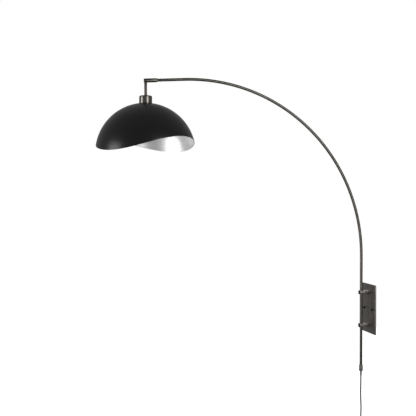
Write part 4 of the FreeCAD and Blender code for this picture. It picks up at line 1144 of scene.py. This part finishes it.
def make_world():
    """White behind the lamp, and a dimmer studio for what lights it."""
    world = bpy.data.worlds.new("studio")
    world.use_nodes = True
    tree = world.node_tree
    room = tree.nodes["Background"]
    room.inputs["Color"].default_value = WHITE
    room.inputs["Strength"].default_value = 0.3
    paper = node_of(tree, "ShaderNodeBackground", Color=WHITE, Strength=1.0)
    either = tree.nodes.new("ShaderNodeMixShader")
    seen = tree.nodes.new("ShaderNodeLightPath")
    tree.links.new(seen.outputs["Is Camera Ray"], either.inputs[0])
    tree.links.new(room.outputs[0], either.inputs[1])
    tree.links.new(paper.outputs[0], either.inputs[2])
    tree.links.new(either.outputs[0], tree.nodes["World Output"].inputs["Surface"])
    bpy.context.scene.world = world
    bpy.context.scene.view_settings.view_transform = "Standard"


def make_camera():
    """Camera where the photograph was taken from; the shift is half a pixel each way."""
    frame_side, tilt, heading = 416.0, 88.916, 77.451
    data = bpy.data.cameras.new("camera")
    data.lens = 69.23
    data.sensor_width = 36.0
    data.shift_x, data.shift_y = -0.5 / frame_side, 0.5 / frame_side
    data.clip_end = 200.0
    camera = linked("camera", data)
    camera.location = (3.38, -1.503, 0.52225)
    camera.rotation_euler = (math.radians(tilt), 0.0, math.radians(heading))
    bpy.context.scene.camera = camera


def make_stage():
    make_floor()
    make_world()
    make_camera()
    soft_box("room_side_light", (0.48, -3.98, 0.33), (0.0, STEM_Y, 0.6), (1.5, 2.5), glow=5.0)
    soft_box("open_side_light", (2.68, 0.36, 0.95), (0.0, STEM_Y, 0.95), (1.25, 2.0), glow=4.8)
    soft_box("low_light", (2.83, -0.87, -0.28), (0.0, STEM_Y, 0.7), (0.45, 0.45), glow=8.0)
    soft_box("post_light", (-0.14, -0.05, 0.7), (0.0, -0.03, 0.0), (0.25, 0.25), glow=4.5,
             spread=60.0)


# ------------------------------------------------------------------ operators

def make_posts():
    for which in ("upper", "lower"):
        make_post(which)
        make_bush(which)


def make_knobs():
    for which in ("upper", "lower"):
        make_knob(which)


def make_drop_and_switch():
    relief = make_relief()
    halves = [make_switch_half("switch_room_side", -1.0, "switch_front"),
              make_switch_half("switch_wall_side", 1.0, "switch_back")]
    rocker = make_rocker()
    cord = make_cord_drop()


def make_spare_cord():
    plug, blades, tie = make_plug(), make_blades(), make_tie()
    cord = make_cord_hank()


class SCONCE_OT_stage(bpy.types.Operator):
    """Make the camera, the lights and the floor"""
    bl_idname = "sconce.stage"
    bl_label = "Studio"

    def execute(self, context):
        make_stage()
        return {"FINISHED"}


class SCONCE_OT_cord_drop(bpy.types.Operator):
    """Make the hanging cord with its relief and switch"""
    bl_idname = "sconce.cord_drop"
    bl_label = "Cord and switch"

    def execute(self, context):
        make_drop_and_switch()
        return {"FINISHED"}


class SCONCE_OT_spare_cord(bpy.types.Operator):
    """Make the tied hank, its tie and the plug"""
    bl_idname = "sconce.spare_cord"
    bl_label = "Spare cord"

    def execute(self, context):
        make_spare_cord()
        return {"FINISHED"}


class SCONCE_OT_wall_plate(bpy.types.Operator):
    """Make the plate and the cap nuts at its sides"""
    bl_idname = "sconce.wall_plate"
    bl_label = "Wall plate"

    def execute(self, context):
        make_wall_plate()
        make_cap_nuts()
        return {"FINISHED"}


class SCONCE_OT_posts(bpy.types.Operator):
    """Make both posts and the bushes in them"""
    bl_idname = "sconce.posts"
    bl_label = "Posts"

    def execute(self, context):
        make_posts()
        return {"FINISHED"}


class SCONCE_OT_knobs(bpy.types.Operator):
    """Make the two clamp knobs"""
    bl_idname = "sconce.knobs"
    bl_label = "Knobs"

    def execute(self, context):
        make_knobs()
        return {"FINISHED"}


class SCONCE_OT_arm(bpy.types.Operator):
    """Make the pole, both halves of the bend and their set screws"""
    bl_idname = "sconce.arm"
    bl_label = "Arm"

    def execute(self, context):
        make_arm()
        make_set_screws()
        return {"FINISHED"}


class SCONCE_OT_elbow(bpy.types.Operator):
    """Make the elbow's sleeve and the stem under it"""
    bl_idname = "sconce.elbow"
    bl_label = "Elbow"

    def execute(self, context):
        make_elbow()
        make_stem()
        return {"FINISHED"}


class SCONCE_OT_cup(bpy.types.Operator):
    """Make the cup over the lampholder"""
    bl_idname = "sconce.cup"
    bl_label = "Cup"

    def execute(self, context):
        make_cup()
        return {"FINISHED"}


class SCONCE_OT_lampholder(bpy.types.Operator):
    """Make the holder, its lamp shell and the shade's ring"""
    bl_idname = "sconce.lampholder"
    bl_label = "Lampholder"

    def execute(self, context):
        make_lampholder()
        make_lamp_shell()
        make_shade_ring()
        return {"FINISHED"}


class SCONCE_OT_shade(bpy.types.Operator):
    """Make the dome with its wavy rim and leafed inside"""
    bl_idname = "sconce.shade"
    bl_label = "Shade"

    def execute(self, context):
        make_shade()
        return {"FINISHED"}


class SCONCE_OT_collar(bpy.types.Operator):
    """Make the collar at the pole's foot"""
    bl_idname = "sconce.collar"
    bl_label = "Collar"

    def execute(self, context):
        make_collar()
        return {"FINISHED"}


class SCONCE_OT_inner_finishes(bpy.types.Operator):
    """Give the pieces inside the others their finishes"""
    bl_idname = "sconce.inner_finishes"
    bl_label = "Inner finishes"

    def execute(self, context):
        make_hidden_finishes()
        return {"FINISHED"}


OPERATORS = [
    SCONCE_OT_stage, SCONCE_OT_cord_drop, SCONCE_OT_spare_cord, SCONCE_OT_wall_plate,
    SCONCE_OT_posts, SCONCE_OT_knobs, SCONCE_OT_arm, SCONCE_OT_elbow,
    SCONCE_OT_cup, SCONCE_OT_lampholder, SCONCE_OT_shade, SCONCE_OT_collar,
    SCONCE_OT_inner_finishes,
]


class SCONCE_PT_panel(bpy.types.Panel):
    """Lists the sconce's pieces"""
    bl_idname = "SCONCE_PT_panel"
    bl_label = "Arc wall sconce"
    bl_space_type = "VIEW_3D"
    bl_region_type = "UI"
    bl_category = "Sconce"

    def draw(self, context):
        for entry in OPERATORS:
            self.layout.operator(entry.bl_idname)


CLASSES = [SconceSizes, SconceColours, *OPERATORS, SCONCE_PT_panel]


def register():
    for entry in CLASSES:
        bpy.utils.register_class(entry)
    bpy.types.Scene.sconce_sizes = PointerProperty(type=SconceSizes)
    bpy.types.Scene.sconce_colours = PointerProperty(type=SconceColours)


def unregister():
    del bpy.types.Scene.sconce_colours
    del bpy.types.Scene.sconce_sizes
    for entry in reversed(CLASSES):
        bpy.utils.unregister_class(entry)


def main():
    register()
    for entry in OPERATORS:
        group, name = entry.bl_idname.split(".")
        getattr(getattr(bpy.ops, group), name)()


if __name__ == "__main__":
    main()
